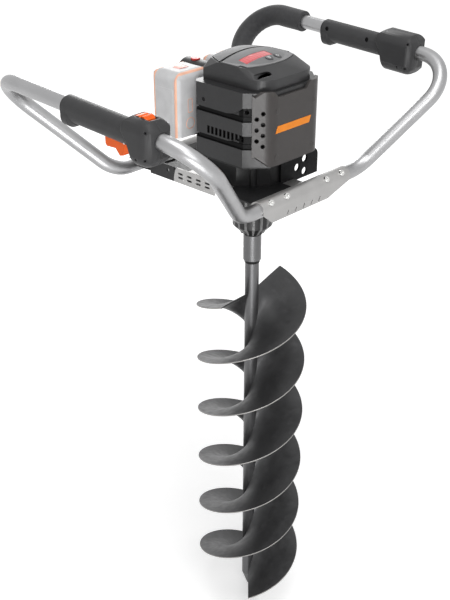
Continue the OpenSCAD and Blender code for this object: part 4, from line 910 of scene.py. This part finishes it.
# front cover: its folds rolled to a radius, with plugs over its screws
FOLD_LAP = 1.5
FOLD_AT = Vector((COVER_FOLD[0] + FOLD_LAP, -COVER_FRONT, 0)) * MM
FOLD_IN = Vector((-FOLD_LAP, COVER_FRONT - COVER_FOLD[1], 0)).normalized()
FOLD_ANGLE = math.radians(46)
FOLD_REACH = 13
FOLD_STEPS = 8
PLUG_D = 9
PLUG_T = 0.25
PLUG_EDGE = 0.15
PLUGS = [(x, up) for x in (-44, 44) for up in (16, 92)]


def refined(node, cuts):
    """A node's solid as an editable mesh, cut along planes so that it can be bent smoothly."""
    work = bmesh.new()
    work.from_mesh(nodes[node].data)
    bmesh.ops.remove_doubles(work, verts=work.verts, dist=1e-6)
    bmesh.ops.dissolve_limit(work, angle_limit=math.radians(0.5), verts=work.verts, edges=work.edges)
    for at, normal in cuts:
        geometry = work.verts[:] + work.edges[:] + work.faces[:]
        bmesh.ops.bisect_plane(work, geom=geometry, dist=1e-7, plane_co=at, plane_no=normal)
    return work


def remade(name, work):
    """Mesh of an edited solid, smooth across its bends."""
    mesh = bpy.data.meshes.new(name)
    work.to_mesh(mesh)
    work.free()
    mesh.shade_smooth()
    mesh.set_sharp_from_angle(angle=math.radians(25))
    return mesh


def rolled_cover(name):
    """The cover with each fold bent to a smooth roll instead of a sharp edge."""
    reach = FOLD_REACH * MM
    folds = []
    for side in (-1, 1):
        turn = Vector((side, 1, 1))
        inward = FOLD_IN * turn
        folds.append((side, FOLD_AT * turn, inward, Vector((-inward.y, inward.x, 0))))
    steps = [k / FOLD_STEPS for k in range(-FOLD_STEPS, FOLD_STEPS + 1)]
    cuts = [(at + across * reach * k, across) for _, at, _, across in folds for k in steps]
    work = refined("front_cover", cuts)
    for side, at, inward, across in folds:
        for vert in work.verts:
            away = abs((vert.co - at).dot(across)) / reach
            if away < 1 and vert.co.x * side > 0:
                vert.co += inward * math.sin(FOLD_ANGLE / 2) * reach / 2 * (1 - away) ** 2
    return remade(name, work)


shell = piece("cover_shell", rolled_cover("cover_shell"), "cover", "frame")
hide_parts("front_cover")
for i, (x, up) in enumerate(PLUGS):
    set_on(
        f"cover_plug_{i + 1}", round_plate(PLUG_D, PLUG_T, PLUG_EDGE),
        (x, -COVER_FRONT, BODY_Z + up), RIGHT, UP, "cover", "frame",
    )


# handle housings: their front ends drawn in to a dome round the tube
DOME_STEPS = 8
DOME_BORE = 14

# side, place of the front end along the handle, length of the dome, and the share by which it narrows
DOMES = {"left": (-1, -115, 24, 0.24), "right": (1, -105, 16, 0.17)}


def domed_housing(name, node, side, front, length, depth):
    """A housing half whose front end narrows by a share of its width over a length."""
    start, ahead = along_handle(side, 0), along_handle(side, 1) - along_handle(side, 0)
    cuts = [(start + ahead * (front + length * k / DOME_STEPS)) * MM for k in range(1, DOME_STEPS + 1)]
    work = refined(node, [(at, ahead) for at in cuts])
    for vert in work.verts:
        place = vert.co / MM - start
        along = place.dot(ahead)
        spoke = place - ahead * along
        away = (along - front) / length
        if away < 1 and spoke.length > DOME_BORE:
            narrow = max(DOME_BORE / spoke.length, 1 - depth * (1 - away) ** 2)
            vert.co = (start + ahead * along + spoke * narrow) * MM
    return remade(name, work)


for word, dome in DOMES.items():
    for half in ("outer", "inner"):
        name = f"{word}_housing_{half}_shell"
        shell = piece(name, domed_housing(name, f"{word}_housing_{half}", *dome), "housing", "frame")
        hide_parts(f"{word}_housing_{half}")


# bare badge strip on the front cover
BADGE_W = 82
BADGE_H = 11.5
BADGE_CORNER = 0.8
BADGE_T = 0.7
BADGE_SLANT = 0.4
BADGE_AT = (-5, 62)
set_on(
    "cover_badge", flat_plate(BADGE_W, BADGE_H, BADGE_CORNER, BADGE_T, BADGE_SLANT),
    (BADGE_AT[0], -COVER_FRONT, BODY_Z + BADGE_AT[1]), RIGHT, UP, "badge", "frame",
)


# signs on the panel's buttons: three bars for the speed, a ring and a bar for power
SIGN_T = 0.15
SIGN_EDGE = 0.05
SPEED_BARS = 3
SPEED_BAR_L = 4
SPEED_BAR_GROWTH = 2
SPEED_BAR_W = 1.1
SPEED_BAR_CORNER = 0.5
SPEED_BAR_PITCH = 2.4
POWER_RING_D = 6
POWER_LINE = 0.9
POWER_BAR_L = 3
POWER_BAR_CORNER = 0.4
POWER_BAR_T = 0.2
POWER_BAR_UP = 2.2


def on_crown(x, y, proud):
    """Point on the crowned panel, with its rightward and its rearward direction."""
    radius = CROWN_R + proud
    out = Vector((x, y - CROWN_Y, math.sqrt(radius ** 2 - x ** 2 - (y - CROWN_Y) ** 2))) / radius
    right = Vector((out.z, 0, -out.x)).normalized()
    centre = Vector((0, CROWN_Y, PANEL_Z + CROWN_H - CROWN_R))
    return centre + out * radius, right, out.cross(right)


def button_sign(name, key, shape, rearward=0.0):
    """Sign on one of the panel's buttons, set back from the button's middle."""
    x, y = BUTTONS[key]
    origin, right, up = on_crown(x, y + rearward, BUTTON_PROUD)
    set_on(name, shape, origin, right, up, "mark", f"{key}_key")


for i in range(SPEED_BARS):
    length = SPEED_BAR_L + SPEED_BAR_GROWTH * i
    bar = flat_plate(length, SPEED_BAR_W, SPEED_BAR_CORNER, SIGN_T, edge=SIGN_EDGE)
    button_sign(f"speed_bar_{i + 1}", "mode", bar, SPEED_BAR_PITCH * (i - 1))
bar = flat_plate(POWER_LINE, POWER_BAR_L, POWER_BAR_CORNER, POWER_BAR_T, edge=SIGN_EDGE)
button_sign("power_ring", "power", round_frame(POWER_RING_D, POWER_LINE, SIGN_T))
button_sign("power_bar", "power", bar, POWER_BAR_UP)


# rubber ring under the drive collar
RING_R = 1.3
RING_DROP = 1
RING_TURN_STEPS = 64
RING_ROUND_STEPS = 10


def hoop(name, radius, z, thick):
    """Ring of round section about the bit's axis; thick is the section's radius."""
    rings = []
    for i in range(RING_TURN_STEPS):
        a = 2 * math.pi * i / RING_TURN_STEPS
        ring = []
        for k in range(RING_ROUND_STEPS):
            b = 2 * math.pi * k / RING_ROUND_STEPS
            r = radius + thick * math.cos(b)
            ring.append((r * math.cos(a), r * math.sin(a), z + thick * math.sin(b)))
        rings.append(ring)
    return mesh_of(name, *swept(rings, closed_path=True))


collar_hoop = hoop("collar_ring", SHAFT_R, COLLAR_Z - RING_DROP, RING_R)
piece("collar_ring", collar_hoop, "rubber", "bit")


# studio, in metres
FLOOR_HALF = 20
FLOOR_TONE = (0.8, 0.8, 0.8, 1)
WHITE = (1, 1, 1, 1)
WORLD_LOW = (0.07, 0.07, 0.072, 1)
WORLD_HIGH = (0.34, 0.34, 0.34, 1)
WORLD_HIGH_AT = 0.75
AIM = Vector((0.0, 0.0, 0.75))

# how far from the object the floor's lift starts and ends, and its strength at both
FLOOR_LIFT = (0.5, 3.0, 0.5, 0.85)


def seen_rays(tree):
    """Mask of the rays that show a surface itself: to the camera, and in what metal and glass reflect."""
    rays = tree.nodes.new("ShaderNodeLightPath")
    seen = rays.outputs["Is Camera Ray"]
    for key in ("Is Glossy Ray", "Is Transmission Ray"):
        either = tree.nodes.new("ShaderNodeMath")
        either.operation = "MAXIMUM"
        tree.links.new(seen, either.inputs[0])
        tree.links.new(rays.outputs[key], either.inputs[1])
        seen = either.outputs[0]
    return seen


def studio_floor():
    """Pale floor that fades to white away from the object and keeps the object's shadow."""
    corners = [(x * FLOOR_HALF, y * FLOOR_HALF, 0) for x, y in ((-1, -1), (1, -1), (1, 1), (-1, 1))]
    mesh = bpy.data.meshes.new("studio_floor")
    mesh.from_pydata(corners, [], [(0, 1, 2, 3)])
    floor = bpy.data.objects.new("studio_floor", mesh)
    bpy.context.scene.collection.objects.link(floor)
    made = Surface("floor_white", 0.9)
    made.shader.inputs["Base Color"].default_value = FLOOR_TONE
    made.shader.inputs["Specular IOR Level"].default_value = 0.0
    made.shader.inputs["Emission Color"].default_value = WHITE
    away = made.node("ShaderNodeVectorMath", operation="LENGTH")
    made.link(made.place, away.inputs[0])
    lift = made.ranged(away.outputs["Value"], *FLOOR_LIFT)
    made.link(made.both(seen_rays(made.tree), lift), made.shader.inputs["Emission Strength"])
    mesh.materials.append(made.material)


def softbox(name, place, size, power):
    """Rectangular lamp that faces the object."""
    data = bpy.data.lights.new(name, "AREA")
    data.shape = "RECTANGLE"
    data.size, data.size_y = size
    data.energy = power
    lamp = bpy.data.objects.new(name, data)
    lamp.location = place
    lamp.rotation_euler = (AIM - Vector(place)).to_track_quat("-Z", "Y").to_euler()
    bpy.context.scene.collection.objects.link(lamp)


def studio_world():
    """Dim light from all round, brighter overhead, and white where the surround itself is seen."""
    world = bpy.data.worlds.new("studio")
    bpy.context.scene.world = world
    world.use_nodes = True
    tree = world.node_tree
    back = tree.nodes["Background"]
    coordinates = tree.nodes.new("ShaderNodeTexCoord")
    split = tree.nodes.new("ShaderNodeSeparateXYZ")
    tree.links.new(coordinates.outputs["Generated"], split.inputs[0])
    ramp = tree.nodes.new("ShaderNodeValToRGB")
    low, high = ramp.color_ramp.elements
    low.position = 0.0
    low.color = WORLD_LOW
    high.position = WORLD_HIGH_AT
    high.color = WORLD_HIGH
    tree.links.new(split.outputs["Z"], ramp.inputs["Fac"])
    shown = tree.nodes.new("ShaderNodeMix")
    shown.data_type = "RGBA"
    first, second = [socket for socket in shown.inputs if socket.type == "RGBA"]
    second.default_value = WHITE
    tree.links.new(seen_rays(tree), shown.inputs["Factor"])
    tree.links.new(ramp.outputs["Color"], first)
    result = next(socket for socket in shown.outputs if socket.type == "RGBA")
    tree.links.new(result, back.inputs["Color"])
    back.inputs["Strength"].default_value = 1.0


studio_floor()
studio_world()
softbox("key", place=(-1.3, -2.1, 2.5), size=(1.3, 1.1), power=24)
softbox("low", place=(-1.75, -1.7, 0.3), size=(0.9, 0.5), power=26)
softbox("top", place=(-0.4, -0.5, 3.2), size=(1.6, 1.6), power=28)
softbox("rim", place=(1.8, 2.2, 1.9), size=(0.8, 1.6), power=22)

camera_data = bpy.data.cameras.new("photo_camera")
camera_data.lens = CAMERA_LENS
camera_data.sensor_width = CAMERA_SENSOR
camera = bpy.data.objects.new("photo_camera", camera_data)
camera.location = CAMERA_AT
camera.rotation_euler = Vector(CAMERA_ALONG).to_track_quat("-Z", "Y").to_euler()
bpy.context.scene.collection.objects.link(camera)
bpy.context.scene.camera = camera
bpy.context.scene.view_settings.view_transform = "Standard"
